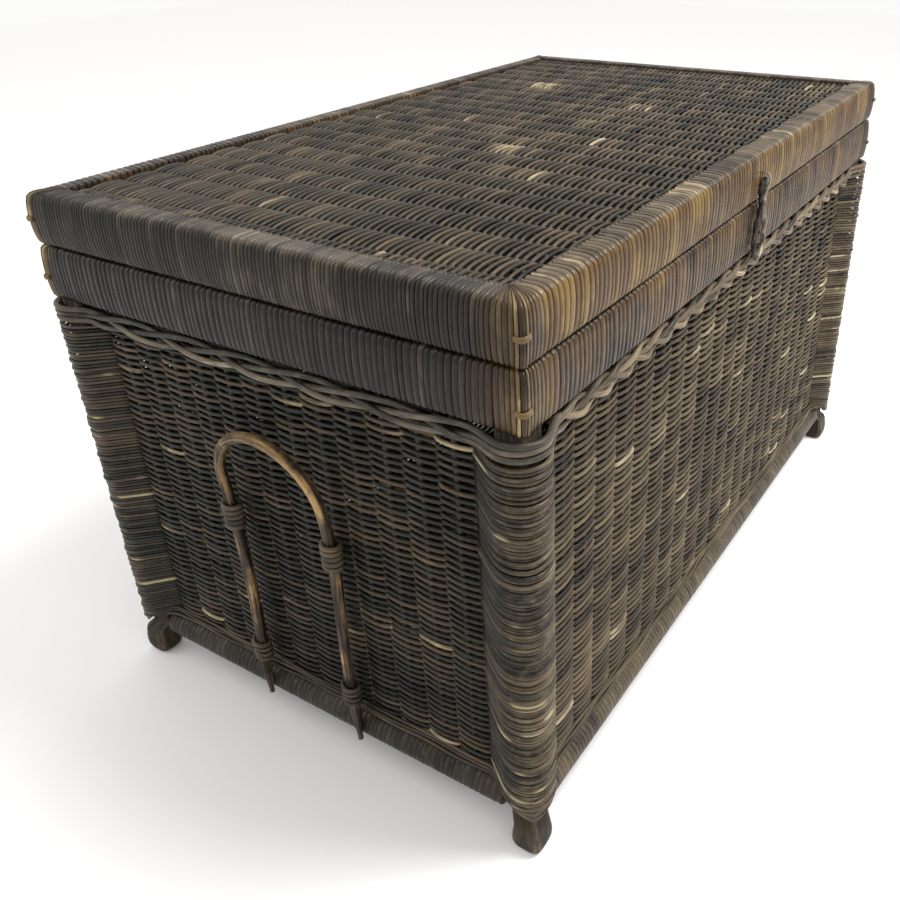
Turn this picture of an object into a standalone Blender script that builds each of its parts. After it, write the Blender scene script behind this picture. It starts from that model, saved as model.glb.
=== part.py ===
"""Wicker storage trunk: woven body on four corner posts, tray lid on two rear hinges, cane hasp.

Metres, +Z up. The origin is on the floor under the middle of the trunk, the hasp faces -Y and the long
side runs along X. Touching pieces keep a gap of SEAT between their meshes.
"""

import math

import bmesh
import bpy
from mathutils import Matrix, Vector

# Overall size of the wrapped lid and rim, and of the stack of bands up the height.
LENGTH = 0.850
DEPTH = 0.512
HEIGHT = 0.524
SEAT = 0.0003
LID_HEIGHT = 0.0469
SEAM = 0.0006
RIM_HEIGHT = 0.0495
BRAID_HEIGHT = 0.0230
BRAID_INSET = 0.0005
BRAID_POST_GAP = 0.0180

# Wrapped border sections.
BORDER = 0.026
LID_EDGE_RADII = (0.004, 0.002, 0.003, 0.009)
RIM_EDGE_RADII = (0.006, 0.002, 0.002, 0.005)
BLOCK_CORNER_RADIUS = 0.005
BLOCK_EDGE = 0.004

# Woven walls, all measured inwards from the outer faces of the rim.
WALL_INSET = 0.0105
WALL_THICKNESS = 0.012
CORNER_RUN = 0.054
CORNER_SKIN = 0.005
POST_INSET = 0.018
FOOT_STEP_OUT = 0.008
POST_SIDE = 0.026
CORNER_BULGE = 0.025
CORNER_LOW = 0.039
CORNER_POINT_STEPS = 4

# Bottom rails and floor.
RAIL_RADIUS = 0.0165
RAIL_INSET = 0.018
RAIL_HEIGHT = 0.048
FLOOR_THICKNESS = 0.008
BEARER_RADIUS = 0.008
BEARER_PLACE = 0.200
POST_CHAMFER = 0.003

# Carrying handles: a bent cane lashed to each end.
HANDLE_RADIUS = 0.0055
HANDLE_HALF_WIDTH = 0.0575
HANDLE_LOW = 0.034
HANDLE_SPRING = 0.300
HANDLE_LEAN = 0.008
UPPER_LASHING = (0.243, 0.273)
LOWER_LASHING = (0.083, 0.109)
LASHING_RADIUS = 0.0088

# Lid panel and its two battens.
PANEL_DROP = 0.002
PANEL_THICKNESS = 0.010
BATTEN_WIDTH = 0.020
BATTEN_THICKNESS = 0.011
BATTEN_PLACE = 0.180

# Rear hinges: cane loops round a pin that lies along the seam.
HINGE_PLACE = 0.260
PIN_RADIUS = 0.0025
PIN_LENGTH = 0.064
LOOP_RADIUS = 0.0039
LOOP_THICKNESS = 0.0020
LOOP_WIDTH = 0.010
LID_LOOP_WIDTH = 0.020
LOOP_TAIL = 0.028

# Hasp: a long waisted cane loop that hangs on a staple in the lid.
HASP_STRAND = 0.0022
HASP_AXIS_HEIGHT = 0.499
HASP_STAND_OFF = 0.0037
STAPLE_HALF_RISE = 0.006
STAPLE_THICKNESS = 0.003
STAPLE_WIDTH = 0.005
BODY_STAPLE_HEIGHT = 0.4405
HASP_HALF_OUTLINE = ((0.0, 0.499), (0.0058, 0.4968), (0.0080, 0.4905), (0.0062, 0.4830), (0.0032, 0.4765),
                     (0.0031, 0.4715), (0.0066, 0.4645), (0.0112, 0.4560), (0.0130, 0.4450),
                     (0.0122, 0.4335), (0.0080, 0.4240), (0.0, 0.4205))

LID_LOW = HEIGHT - LID_HEIGHT
RIM_TOP = LID_LOW - SEAM
RIM_LOW = RIM_TOP - RIM_HEIGHT
BRAID_TOP = RIM_LOW - SEAT
BRAID_LOW = BRAID_TOP - BRAID_HEIGHT
WALL_LOW = RAIL_HEIGHT + RAIL_RADIUS + 3 * SEAT
HINGE_Y = DEPTH / 2 + LOOP_RADIUS + LOOP_THICKNESS / 2 + SEAT + 0.0001
HINGE_Z = LID_LOW - SEAM / 2
STAPLE_Y = -(HINGE_Y + LOOP_RADIUS + LOOP_THICKNESS / 2 - STAPLE_THICKNESS / 2)
ARC_STEPS = 5

# Each side: name, turn about Z that brings -Y to its outward way, its length, its distance outwards.
SIDES = (("front", 0, LENGTH, DEPTH / 2), ("right", 90, DEPTH, LENGTH / 2),
         ("back", 180, LENGTH, DEPTH / 2), ("left", 270, DEPTH, LENGTH / 2))
CORNERS = (("front_left", 0, -LENGTH / 2, -DEPTH / 2), ("front_right", 90, LENGTH / 2, -DEPTH / 2),
           ("back_right", 180, LENGTH / 2, DEPTH / 2), ("back_left", 270, -LENGTH / 2, DEPTH / 2))


def cane(name, colour, roughness):
    """A plain Principled material for one kind of cane or wood."""
    material = bpy.data.materials.new(name)
    material.use_nodes = True
    shader = material.node_tree.nodes["Principled BSDF"]
    shader.inputs["Base Color"].default_value = (*colour, 1.0)
    shader.inputs["Roughness"].default_value = roughness
    shader.inputs["Metallic"].default_value = 0.0
    material.diffuse_color = (*colour, 1.0)
    return material


def place(name, data, look, location=(0.0, 0.0, 0.0), turn=0, smooth=False):
    """Put mesh or curve data into the scene as one named object."""
    thing = bpy.data.objects.new(name, data)
    thing.location = location
    thing.rotation_euler = (0.0, 0.0, math.radians(turn))
    data.materials.append(look.copy() if look.users else look)
    data.materials[0].name = name
    bpy.context.scene.collection.objects.link(thing)
    if smooth and thing.type == "MESH":
        for face in data.polygons:
            face.use_smooth = True
    return thing


def mesh_from(bm, name):
    """Finish a bmesh as mesh data with its faces turned outwards."""
    bmesh.ops.recalc_face_normals(bm, faces=bm.faces)
    data = bpy.data.meshes.new(name)
    bm.to_mesh(data)
    bm.free()
    return data


def prism(outline, low, high, axis="Z"):
    """A bmesh solid: the 2-D outline pushed from low to high along Z, or along X for outlines in Y and Z."""
    bm = bmesh.new()
    if axis == "Z":
        ring = [bm.verts.new((x, y, low)) for x, y in outline]
        way = Vector((0.0, 0.0, high - low))
    else:
        ring = [bm.verts.new((low, y, z)) for y, z in outline]
        way = Vector((high - low, 0.0, 0.0))
    base = bm.faces.new(ring)
    pushed = bmesh.ops.extrude_face_region(bm, geom=[base])
    moved = [item for item in pushed["geom"] if isinstance(item, bmesh.types.BMVert)]
    bmesh.ops.translate(bm, verts=moved, vec=way)
    return bm


def arc(centre, radius, start, end, steps=ARC_STEPS):
    """Points on a circle from start to end, in degrees."""
    angles = [math.radians(start + (end - start) * i / steps) for i in range(steps + 1)]
    return [(centre[0] + radius * math.cos(a), centre[1] + radius * math.sin(a)) for a in angles]


def rounded_section(width, low, high, radii):
    """A rail's section in Y and Z. Its outer face is at -width / 2; radii start at the outer lower edge."""
    half = width / 2
    outer_low, inner_low, inner_high, outer_high = radii
    return (arc((-half + outer_low, low + outer_low), outer_low, 180, 270)
            + arc((half - inner_low, low + inner_low), inner_low, 270, 360)
            + arc((half - inner_high, high - inner_high), inner_high, 0, 90)
            + arc((-half + outer_high, high - outer_high), outer_high, 90, 180))


def outward(turn, distance):
    """The point at a distance from the middle, on the side that the turn brings to the front."""
    a = math.radians(turn)
    return Vector((math.sin(a) * distance, -math.cos(a) * distance, 0.0))


def strip(path, thickness):
    """A closed outline around a flat strip that follows the path, given as points of its middle line."""
    points = [Vector(p) for p in path]
    left, right = [], []
    for i, point in enumerate(points):
        before = points[max(i - 1, 0)]
        after = points[min(i + 1, len(points) - 1)]
        way = (after - before).normalized()
        side = Vector((-way.y, way.x)) * thickness / 2
        left.append(tuple(point + side))
        right.append(tuple(point - side))
    return left + right[::-1]


def rail_run(prefix, low, high, radii, look):
    """Four straight wrapped rails between the corner blocks of the lid or of the rim."""
    for side, turn, span, distance in SIDES:
        half = span / 2 - BORDER - SEAT
        section = rounded_section(BORDER, low, high, radii)
        bm = prism(section, -half, half, axis="X")
        place(f"{prefix}_rail_{side}", mesh_from(bm, f"{prefix}_rail_{side}"), look,
              outward(turn, distance - BORDER / 2), turn)


def corner_blocks(prefix, low, high, look):
    """Four blocks where the vertical strips cover the ends of the rails."""
    for corner, turn, x, y in CORNERS:
        radius = BLOCK_CORNER_RADIUS
        outline = [(BORDER, 0.0), (BORDER, BORDER), (0.0, BORDER)] + arc((radius, radius), radius, 180, 270)
        bm = prism(outline, low, high)
        outer = [edge for edge in bm.edges
                 if abs(edge.verts[0].co.z - edge.verts[1].co.z) < SEAT
                 and min(v.co.x for v in edge.verts) < BORDER - SEAT
                 and min(v.co.y for v in edge.verts) < BORDER - SEAT
                 and not all(v.co.y > BORDER - SEAT for v in edge.verts)
                 and not all(v.co.x > BORDER - SEAT for v in edge.verts)]
        bmesh.ops.bevel(bm, geom=outer, offset=BLOCK_EDGE, segments=2, affect="EDGES", profile=0.5)
        name = f"{prefix}_corner_{corner}"
        place(name, mesh_from(bm, name), look, (x, y, 0.0), turn)


def corner_posts(look):
    """Square posts: their lower ends are the feet, swollen a little and rounded off at the floor."""
    half = POST_SIDE / 2
    levels = ((0.0, 0.72 * half, FOOT_STEP_OUT), (0.004, 0.98 * half, FOOT_STEP_OUT),
              (0.014, 1.12 * half, FOOT_STEP_OUT), (0.023, 1.08 * half, FOOT_STEP_OUT),
              (RAIL_HEIGHT - RAIL_RADIUS - 0.001, half, 0.0), (BRAID_TOP, half, 0.0))
    for corner, turn, x, y in CORNERS:
        bm = bmesh.new()
        rings = []
        for height, reach, out in levels:
            cut = reach - POST_CHAMFER
            outline = [(-cut, -reach), (cut, -reach), (reach, -cut), (reach, cut),
                       (cut, reach), (-cut, reach), (-reach, cut), (-reach, -cut)]
            rings.append([bm.verts.new((px - out, py - out, height)) for px, py in outline])
        for lower, upper in zip(rings, rings[1:]):
            for i in range(len(lower)):
                j = (i + 1) % len(lower)
                bm.faces.new((lower[i], lower[j], upper[j], upper[i]))
        bm.faces.new(rings[0][::-1])
        bm.faces.new(rings[-1])
        towards_middle = Matrix.Rotation(math.radians(turn), 3, "Z") @ Vector((POST_INSET, POST_INSET, 0.0))
        place(f"corner_post_{corner}", mesh_from(bm, f"corner_post_{corner}"), look,
              Vector((x, y, 0.0)) + towards_middle, turn)


def woven_walls(look):
    """Four woven sheets between the corners, from the bottom rail up into the rim."""
    inner = WALL_INSET + WALL_THICKNESS
    for side, turn, span, distance in SIDES:
        half = span / 2 - CORNER_RUN - SEAT
        outline = [(-half, 0.0), (half, 0.0), (half, WALL_THICKNESS), (-half, WALL_THICKNESS)]
        bm = prism(outline, WALL_LOW, RIM_LOW - SEAT)
        assert inner < BORDER
        place(f"woven_wall_{side}", mesh_from(bm, f"woven_wall_{side}"), look,
              outward(turn, distance - WALL_INSET), turn)


def corner_line(reach, along, inset):
    """Points round one post at a distance from its middle, with a flare to a wall at each end."""
    centre = (POST_INSET, POST_INSET)
    return [(along, inset)] + arc(centre, reach, 285, 165, 8) + [(inset, along)]


def woven_corners(look):
    """The weave that runs on round each post: a thin skin, bulged out past the walls and the rim.

    It passes over the ends of the bottom rails and comes down to a point at the arris below them.
    """
    flare = (0.83 * CORNER_RUN, 0.71 * WALL_INSET)
    edge = WALL_INSET + CORNER_SKIN
    outer = corner_line(CORNER_BULGE, *flare)
    inner = corner_line(CORNER_BULGE - CORNER_SKIN, flare[0], flare[1] + CORNER_SKIN)
    outer = [(CORNER_RUN, WALL_INSET)] + outer + [(WALL_INSET, CORNER_RUN)]
    inner = [(CORNER_RUN, edge)] + inner + [(edge, CORNER_RUN)]
    drop = WALL_LOW - CORNER_LOW
    half = len(outer) // 2
    falls = [drop * max(0.0, 1 - abs(i - half) / CORNER_POINT_STEPS) for i in range(len(outer))]
    for corner, turn, x, y in CORNERS:
        bm = bmesh.new()
        rings = []
        for (ox, oy), (ix, iy), fall in zip(outer, inner, falls):
            low = WALL_LOW - fall
            rings.append([bm.verts.new(v) for v in (
                (ox, oy, low), (ox, oy, BRAID_LOW - SEAT), (ix, iy, BRAID_LOW - SEAT), (ix, iy, low))])
        for near, far in zip(rings, rings[1:]):
            for i in range(4):
                j = (i + 1) % 4
                bm.faces.new((near[i], near[j], far[j], far[i]))
        bm.faces.new(rings[0][::-1])
        bm.faces.new(rings[-1])
        place(f"woven_corner_{corner}", mesh_from(bm, f"woven_corner_{corner}"), look, (x, y, 0.0), turn)


def braided_border(look):
    """The rope border: one closed ring under the rim, outside the walls and bulged round the posts."""
    straight = CORNER_RUN - 0.009
    faces = []
    for reach, inset in ((CORNER_BULGE, BRAID_INSET), (BRAID_POST_GAP, WALL_INSET - SEAT)):
        line = corner_line(reach, straight, inset)
        ring = []
        for _, turn, x, y in CORNERS:
            spin = Matrix.Rotation(math.radians(turn), 2)
            ring += [Vector((x, y)) + spin @ Vector(point) for point in line[::-1]]
        faces.append(ring)
    outer, inner = faces
    bm = bmesh.new()
    loops = []
    for height in (BRAID_LOW, BRAID_TOP):
        loops.append([bm.verts.new((x, y, height)) for x, y in outer])
        loops.append([bm.verts.new((x, y, height)) for x, y in inner])
    outer_low, inner_low, outer_high, inner_high = loops
    around = (outer_low, outer_high, inner_high, inner_low)
    for a, b in zip(around, around[1:] + around[:1]):
        for i in range(len(a)):
            j = (i + 1) % len(a)
            bm.faces.new((a[i], a[j], b[j], b[i]))
    place("braided_border", mesh_from(bm, "braided_border"), look)


def cylinder_along_x(radius, length, sides):
    """A closed cylinder about X."""
    bm = bmesh.new()
    bmesh.ops.create_cone(bm, cap_ends=True, segments=sides, radius1=radius, radius2=radius, depth=length,
                          matrix=Matrix.Rotation(math.radians(90), 4, "Y"))
    return bm


def bottom_rails(look):
    """Four wrapped poles round the bottom: the long ones reach the posts, the short ones the long ones."""
    post_face = POST_INSET + POST_SIDE / 2 + SEAT
    long_rail_face = RAIL_INSET + RAIL_RADIUS + 2 * SEAT
    for side, turn, span, distance in SIDES:
        start = post_face if span == LENGTH else long_rail_face
        bm = cylinder_along_x(RAIL_RADIUS, span - 2 * start, 24)
        place(f"bottom_rail_{side}", mesh_from(bm, f"bottom_rail_{side}"), look,
              outward(turn, distance - RAIL_INSET) + Vector((0.0, 0.0, RAIL_HEIGHT)), turn, smooth=True)


def floor_parts(panel_look, pole_look):
    """A woven floor notched round the posts, on two poles that cross from the front to the back."""
    half_x = LENGTH / 2 - WALL_INSET - WALL_THICKNESS - SEAT
    half_y = DEPTH / 2 - WALL_INSET - WALL_THICKNESS - SEAT
    notch_x = LENGTH / 2 - POST_INSET - POST_SIDE / 2 - 2 * SEAT
    notch_y = DEPTH / 2 - POST_INSET - POST_SIDE / 2 - 2 * SEAT
    quarter = [(half_x, notch_y), (notch_x, notch_y), (notch_x, half_y)]
    outline = (quarter + [(-x, y) for x, y in quarter[::-1]]
               + [(-x, -y) for x, y in quarter] + [(x, -y) for x, y in quarter[::-1]])
    bm = prism(outline, WALL_LOW, WALL_LOW + FLOOR_THICKNESS)
    place("floor_panel", mesh_from(bm, "floor_panel"), panel_look)
    reach = 2 * (DEPTH / 2 - RAIL_INSET - RAIL_RADIUS - 3 * SEAT)
    for side, x in (("left", -BEARER_PLACE), ("right", BEARER_PLACE)):
        bm = cylinder_along_x(BEARER_RADIUS, reach, 16)
        place(f"floor_bearer_{side}", mesh_from(bm, f"floor_bearer_{side}"), pole_look,
              (x, 0.0, WALL_LOW - BEARER_RADIUS - SEAT), 90, smooth=True)


def bezier(name, points, radius, closed):
    """A round cane that follows smooth points."""
    data = bpy.data.curves.new(name, "CURVE")
    data.dimensions = "3D"
    data.bevel_depth = radius
    data.bevel_resolution = 2
    data.use_fill_caps = not closed
    data.resolution_u = 4
    spline = data.splines.new("BEZIER")
    spline.bezier_points.add(len(points) - 1)
    spline.use_cyclic_u = closed
    for knot, point in zip(spline.bezier_points, points):
        knot.co = point
        knot.handle_left_type = knot.handle_right_type = "AUTO"
    return data


def carrying_handles(cane_look, lashing_look):
    """At each end one cane bent to an arch, its legs lashed to the wall at two heights."""
    stand_out = LENGTH / 2 - RAIL_INSET + RAIL_RADIUS + HANDLE_RADIUS + SEAT
    for side, turn, _, distance in SIDES:
        if side not in ("left", "right"):
            continue
        top = HANDLE_SPRING + HANDLE_HALF_WIDTH
        leg = [HANDLE_LOW, 0.5 * (LOWER_LASHING[0] + LOWER_LASHING[1]), 0.5 * sum(UPPER_LASHING) - 0.03,
               UPPER_LASHING[1] + 0.002]
        arch = arc((0.0, HANDLE_SPRING), HANDLE_HALF_WIDTH, 180, 0, 8)
        front = [(-HANDLE_HALF_WIDTH, z) for z in leg] + arch + [(HANDLE_HALF_WIDTH, z) for z in leg[::-1]]
        lean_from = UPPER_LASHING[1] + 0.002
        points = []
        for across, z in front:
            lean = HANDLE_LEAN * max(0.0, (z - lean_from) / (top - lean_from))
            points.append((across, -lean, z))
        cane_curve = bezier(f"carrying_handle_{side}", points, HANDLE_RADIUS, closed=False)
        place(f"carrying_handle_{side}", cane_curve, cane_look, outward(turn, stand_out), turn)
        back = stand_out - (distance - WALL_INSET) - 2 * SEAT
        outline = arc((0.0, 0.0), LASHING_RADIUS, 180, 360, 10)
        outline += [(LASHING_RADIUS, back), (-LASHING_RADIUS, back)]
        for level, (low, high) in (("upper", UPPER_LASHING), ("lower", LOWER_LASHING)):
            for leg_name, across in (("a", -HANDLE_HALF_WIDTH), ("b", HANDLE_HALF_WIDTH)):
                name = f"handle_lashing_{side}_{level}_{leg_name}"
                bm = sleeve(outline, HANDLE_RADIUS + SEAT, low, high)
                sideways = Matrix.Rotation(math.radians(turn), 3, "Z") @ Vector((across, 0, 0))
                spot = outward(turn, stand_out) + sideways
                place(name, mesh_from(bm, name), lashing_look, spot, turn)


def sleeve(outline, bore, low, high):
    """A prism of the outline with a round hole through it along Z."""
    bm = bmesh.new()
    sides = 16
    hole = arc((0.0, 0.0), bore / math.cos(math.pi / sides), 0, 360, sides)[:-1]
    for points in (outline, hole):
        ring = [bm.verts.new((x, y, low)) for x, y in points]
        for i in range(len(ring)):
            bm.edges.new((ring[i], ring[(i + 1) % len(ring)]))
    bmesh.ops.triangle_fill(bm, use_beauty=True, edges=bm.edges)
    pushed = bmesh.ops.extrude_face_region(bm, geom=bm.faces[:])
    moved = [item for item in pushed["geom"] if isinstance(item, bmesh.types.BMVert)]
    bmesh.ops.translate(bm, verts=moved, vec=Vector((0.0, 0.0, high - low)))
    return bm


def lid_panel(panel_look, batten_look):
    """The woven top, set a little below the rails, and two battens under it."""
    half_x = LENGTH / 2 - BORDER - SEAT
    half_y = DEPTH / 2 - BORDER - SEAT
    high = HEIGHT - PANEL_DROP
    low = high - PANEL_THICKNESS
    outline = [(-half_x, -half_y), (half_x, -half_y), (half_x, half_y), (-half_x, half_y)]
    bm = prism(outline, low, high)
    place("lid_panel", mesh_from(bm, "lid_panel"), panel_look)
    half_w = BATTEN_WIDTH / 2
    batten = [(-half_w, -half_y), (half_w, -half_y), (half_w, half_y), (-half_w, half_y)]
    for side, x in (("left", -BATTEN_PLACE), ("right", BATTEN_PLACE)):
        bm = prism(batten, low - SEAT - BATTEN_THICKNESS, low - SEAT)
        place(f"lid_batten_{side}", mesh_from(bm, f"lid_batten_{side}"), batten_look, (x, 0.0, 0.0))


def rear_hinges(pin_look, loop_look):
    """Two hinges: a pin in two loops on the rim, with one wider loop of the lid between them."""
    rim_path = [(-LOOP_RADIUS, -LOOP_TAIL), (-LOOP_RADIUS, -LOOP_TAIL / 2)]
    rim_path += arc((0, 0), LOOP_RADIUS, 180, -110, 14)
    lid_path = [(y, -z) for y, z in rim_path]
    gap = 2 * SEAT
    for side, x in (("left", -HINGE_PLACE), ("right", HINGE_PLACE)):
        spot = (x, HINGE_Y, HINGE_Z)
        bm = cylinder_along_x(PIN_RADIUS, PIN_LENGTH, 12)
        place(f"hinge_pin_{side}", mesh_from(bm, f"hinge_pin_{side}"), pin_look, spot, smooth=True)
        start = LID_LOOP_WIDTH / 2 + gap
        for end, low, high in (("inner", -start - LOOP_WIDTH, -start), ("outer", start, start + LOOP_WIDTH)):
            name = f"hinge_rim_loop_{side}_{end}"
            bm = prism(strip(rim_path, LOOP_THICKNESS), low, high, axis="X")
            place(name, mesh_from(bm, name), loop_look, spot)
        name = f"hinge_lid_loop_{side}"
        bm = prism(strip(lid_path, LOOP_THICKNESS), -LID_LOOP_WIDTH / 2, LID_LOOP_WIDTH / 2, axis="X")
        place(name, mesh_from(bm, name), loop_look, spot)


def staple(name, height, look):
    """A cane staple that stands out of a front rail, its two legs one above the other."""
    face = -DEPTH / 2 - SEAT
    corner = 0.002
    path = ([(face, STAPLE_HALF_RISE)]
            + arc((STAPLE_Y + corner, STAPLE_HALF_RISE - corner), corner, 90, 180, 4)
            + arc((STAPLE_Y + corner, -STAPLE_HALF_RISE + corner), corner, 180, 270, 4)
            + [(face, -STAPLE_HALF_RISE)])
    bm = prism(strip(path, STAPLE_THICKNESS), -STAPLE_WIDTH / 2, STAPLE_WIDTH / 2, axis="X")
    place(name, mesh_from(bm, name), look, (0.0, 0.0, height))


def hasp_parts(look):
    """The hasp loop, turning about its own top strand, and the two staples it reaches between."""
    staple("hasp_staple_lid", HASP_AXIS_HEIGHT, look)
    staple("hasp_staple_rim", BODY_STAPLE_HEIGHT, look)
    half = [(x, 0.0, z - HASP_AXIS_HEIGHT) for x, z in HASP_HALF_OUTLINE]
    points = half + [(-x, y, z) for x, y, z in half[-2:0:-1]]
    place("hasp_loop", bezier("hasp_loop", points, HASP_STRAND, closed=True), look,
          (0.0, -DEPTH / 2 - HASP_STAND_OFF, HASP_AXIS_HEIGHT))


for leftover in list(bpy.data.objects):
    bpy.data.objects.remove(leftover, do_unlink=True)

dark_cane = cane("dark_cane", (0.055, 0.048, 0.040), 0.55)
wrapped_cane = cane("wrapped_cane", (0.150, 0.110, 0.070), 0.45)
handle_cane = cane("handle_cane", (0.200, 0.120, 0.055), 0.35)
dark_wood = cane("dark_wood", (0.065, 0.035, 0.020), 0.50)

corner_posts(dark_wood)
bottom_rails(wrapped_cane)
floor_parts(dark_cane, handle_cane)
woven_walls(dark_cane)
woven_corners(dark_cane)
braided_border(dark_cane)
rail_run("rim", RIM_LOW, RIM_TOP, RIM_EDGE_RADII, wrapped_cane)
corner_blocks("rim", RIM_LOW, RIM_TOP, wrapped_cane)
carrying_handles(handle_cane, dark_cane)
rail_run("lid", LID_LOW, HEIGHT, LID_EDGE_RADII, wrapped_cane)
corner_blocks("lid", LID_LOW, HEIGHT, wrapped_cane)
lid_panel(dark_cane, dark_wood)
rear_hinges(handle_cane, dark_cane)
hasp_parts(dark_cane)
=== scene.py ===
import math

import bpy
import numpy as np
from mathutils import Matrix, Vector


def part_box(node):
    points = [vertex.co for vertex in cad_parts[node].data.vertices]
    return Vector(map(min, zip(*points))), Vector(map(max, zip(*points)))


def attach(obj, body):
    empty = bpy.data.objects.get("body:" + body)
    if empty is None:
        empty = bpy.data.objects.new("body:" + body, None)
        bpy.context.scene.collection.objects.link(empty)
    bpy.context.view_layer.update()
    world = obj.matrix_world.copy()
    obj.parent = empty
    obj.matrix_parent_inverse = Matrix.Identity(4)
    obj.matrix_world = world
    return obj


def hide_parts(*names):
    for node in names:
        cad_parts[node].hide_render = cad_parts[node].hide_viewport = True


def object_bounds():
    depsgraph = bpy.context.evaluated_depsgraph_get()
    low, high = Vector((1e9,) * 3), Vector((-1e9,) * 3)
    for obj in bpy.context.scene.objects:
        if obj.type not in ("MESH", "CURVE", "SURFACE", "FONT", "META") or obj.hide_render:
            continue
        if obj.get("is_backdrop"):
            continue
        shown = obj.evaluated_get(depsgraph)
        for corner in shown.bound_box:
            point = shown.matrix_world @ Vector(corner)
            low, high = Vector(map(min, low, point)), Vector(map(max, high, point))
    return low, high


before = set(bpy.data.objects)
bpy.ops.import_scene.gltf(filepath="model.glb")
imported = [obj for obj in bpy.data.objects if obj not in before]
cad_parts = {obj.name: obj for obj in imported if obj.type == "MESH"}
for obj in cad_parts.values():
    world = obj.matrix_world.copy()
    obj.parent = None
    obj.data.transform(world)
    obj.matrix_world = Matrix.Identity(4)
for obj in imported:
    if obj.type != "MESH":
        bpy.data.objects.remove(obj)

cad_low, cad_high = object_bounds()

# ---------------------------------------------------------------------------------------------
# Corner posts: four square hardwood uprights that carry the whole basket. Only the feet show
# below the weave. Each foot is left a little fuller than the post, cut in under the weave and
# worn round where it stands on the floor.
# ---------------------------------------------------------------------------------------------
chance = np.random.default_rng(20)


def colour(code):
    """A paint-card hex code as the linear colour that a shader socket takes."""
    parts = [int(code[i : i + 2], 16) / 255 for i in (1, 3, 5)]
    return [p / 12.92 if p < 0.04045 else ((p + 0.055) / 1.055) ** 2.4 for p in parts] + [1.0]


def bundle(points, tone=0.4, faded_and_lit=0.0, worn=0.0, close_steps=False, close_across=True):
    """Like strips laid side by side. points is strips x steps along x points across; the marks
    say how light each point is, how far toward the sun-bleached colours it goes, which also
    paint the lit side lighter, and how rubbed it is."""
    strips, steps, wide = points.shape[:3]
    length = np.linalg.norm(np.diff(points.mean(axis=2), axis=1), axis=2)
    along = np.concatenate([np.zeros((strips, 1)), np.cumsum(length, axis=1)], axis=1)
    girth = np.linalg.norm(np.diff(points, axis=2), axis=3).mean(axis=1)
    around = np.concatenate([np.zeros((strips, 1)), np.cumsum(girth, axis=1)], axis=1)
    if close_across:  # out and back, so that the grain has no seam
        around = np.minimum(around, around[:, -1:] + girth[:, -1:] - around)
    fibre = np.empty(points.shape)
    fibre[..., 0] = along[:, :, None]
    fibre[..., 1] = around[:, None, :]
    fibre[..., 2] = chance.random(strips)[:, None, None] * 60
    marks = {"fibre": fibre}
    for mark, value in (("tone", tone), ("faded_and_lit", faded_and_lit), ("worn", worn)):
        marks[mark] = np.broadcast_to(value, points.shape[:3])
    s, r, a = np.meshgrid(
        np.arange(strips),
        np.arange(steps - (not close_steps)),
        np.arange(wide - (not close_across)),
        indexing="ij",
    )
    r2, a2 = (r + 1) % steps, (a + 1) % wide
    quads = np.stack(
        [(s * steps + p) * wide + q for p, q in ((r, a), (r, a2), (r2, a2), (r2, a))], -1
    ).reshape(-1, 4)
    flat = points.reshape(-1, 3)
    heart = points.mean(axis=2)[:, :, None] if close_across else points.mean(axis=1)[:, None]
    heart = np.broadcast_to(heart, points.shape).reshape(-1, 3)
    p, q, w = flat[quads[:, 0]], flat[quads[:, 1]], flat[quads[:, 3]]
    facing = (np.cross(q - p, w - p) * (p - heart[quads[:, 0]])).sum()
    return flat, quads if facing > 0 else quads[:, ::-1], marks


def xyz(x, y, z):
    """Points from their three coordinates, each a number or an array."""
    return np.stack(np.broadcast_arrays(x, y, z), -1)


def make(name, bundles, material, body, slot, *nodes):
    """One mesh piece from bundles, riding on body and standing for the named CAD nodes."""
    mesh = bpy.data.meshes.new(name)
    flat = np.concatenate([b[0] for b in bundles])
    starts = np.cumsum([0] + [len(b[0]) for b in bundles[:-1]])
    quads = np.concatenate([b[1] + start for b, start in zip(bundles, starts)])
    mesh.vertices.add(len(flat))
    mesh.vertices.foreach_set("co", flat.astype(np.float32).ravel())
    mesh.loops.add(quads.size)
    mesh.loops.foreach_set("vertex_index", quads.astype(np.int32).ravel())
    mesh.polygons.add(len(quads))
    mesh.polygons.foreach_set("loop_start", np.arange(0, quads.size, 4, dtype=np.int32))
    mesh.update(calc_edges=True)
    for mark in ("tone", "faded_and_lit", "worn"):
        values = np.concatenate([b[2][mark].ravel() for b in bundles])
        layer = mesh.attributes.new(mark, "FLOAT", "POINT")
        layer.data.foreach_set("value", values.astype(np.float32))
    fibre = np.concatenate([b[2]["fibre"].reshape(-1, 3) for b in bundles])
    layer = mesh.attributes.new("fibre", "FLOAT_VECTOR", "POINT")
    layer.data.foreach_set("vector", fibre.astype(np.float32).ravel())
    mesh.polygons.foreach_set("use_smooth", np.ones(len(quads), dtype=bool))
    mesh.materials.append(material)
    piece = bpy.data.objects.new(name, mesh)
    bpy.context.scene.collection.objects.link(piece)
    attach(piece, body)
    if nodes:
        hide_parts(*nodes)
    return piece


def put(tree, kind, sockets=(), **settings):
    """A shader node. sockets maps its inputs to values or to other nodes' outputs."""
    made = tree.nodes.new(kind)
    for name, value in settings.items():
        setattr(made, name, value)
    for key, value in dict(sockets).items():
        if isinstance(value, bpy.types.NodeSocket):
            tree.links.new(value, made.inputs[key])
        else:
            made.inputs[key].default_value = value
    return made


def maths(tree, operation, first, second=0.0):
    return put(tree, "ShaderNodeMath", {0: first, 1: second}, operation=operation).outputs[0]


def mixed(tree, share, first, second, kind="MIX"):
    sockets = {0: share, 6: first, 7: second}
    return put(tree, "ShaderNodeMix", sockets, data_type="RGBA", blend_type=kind).outputs[2]


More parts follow.
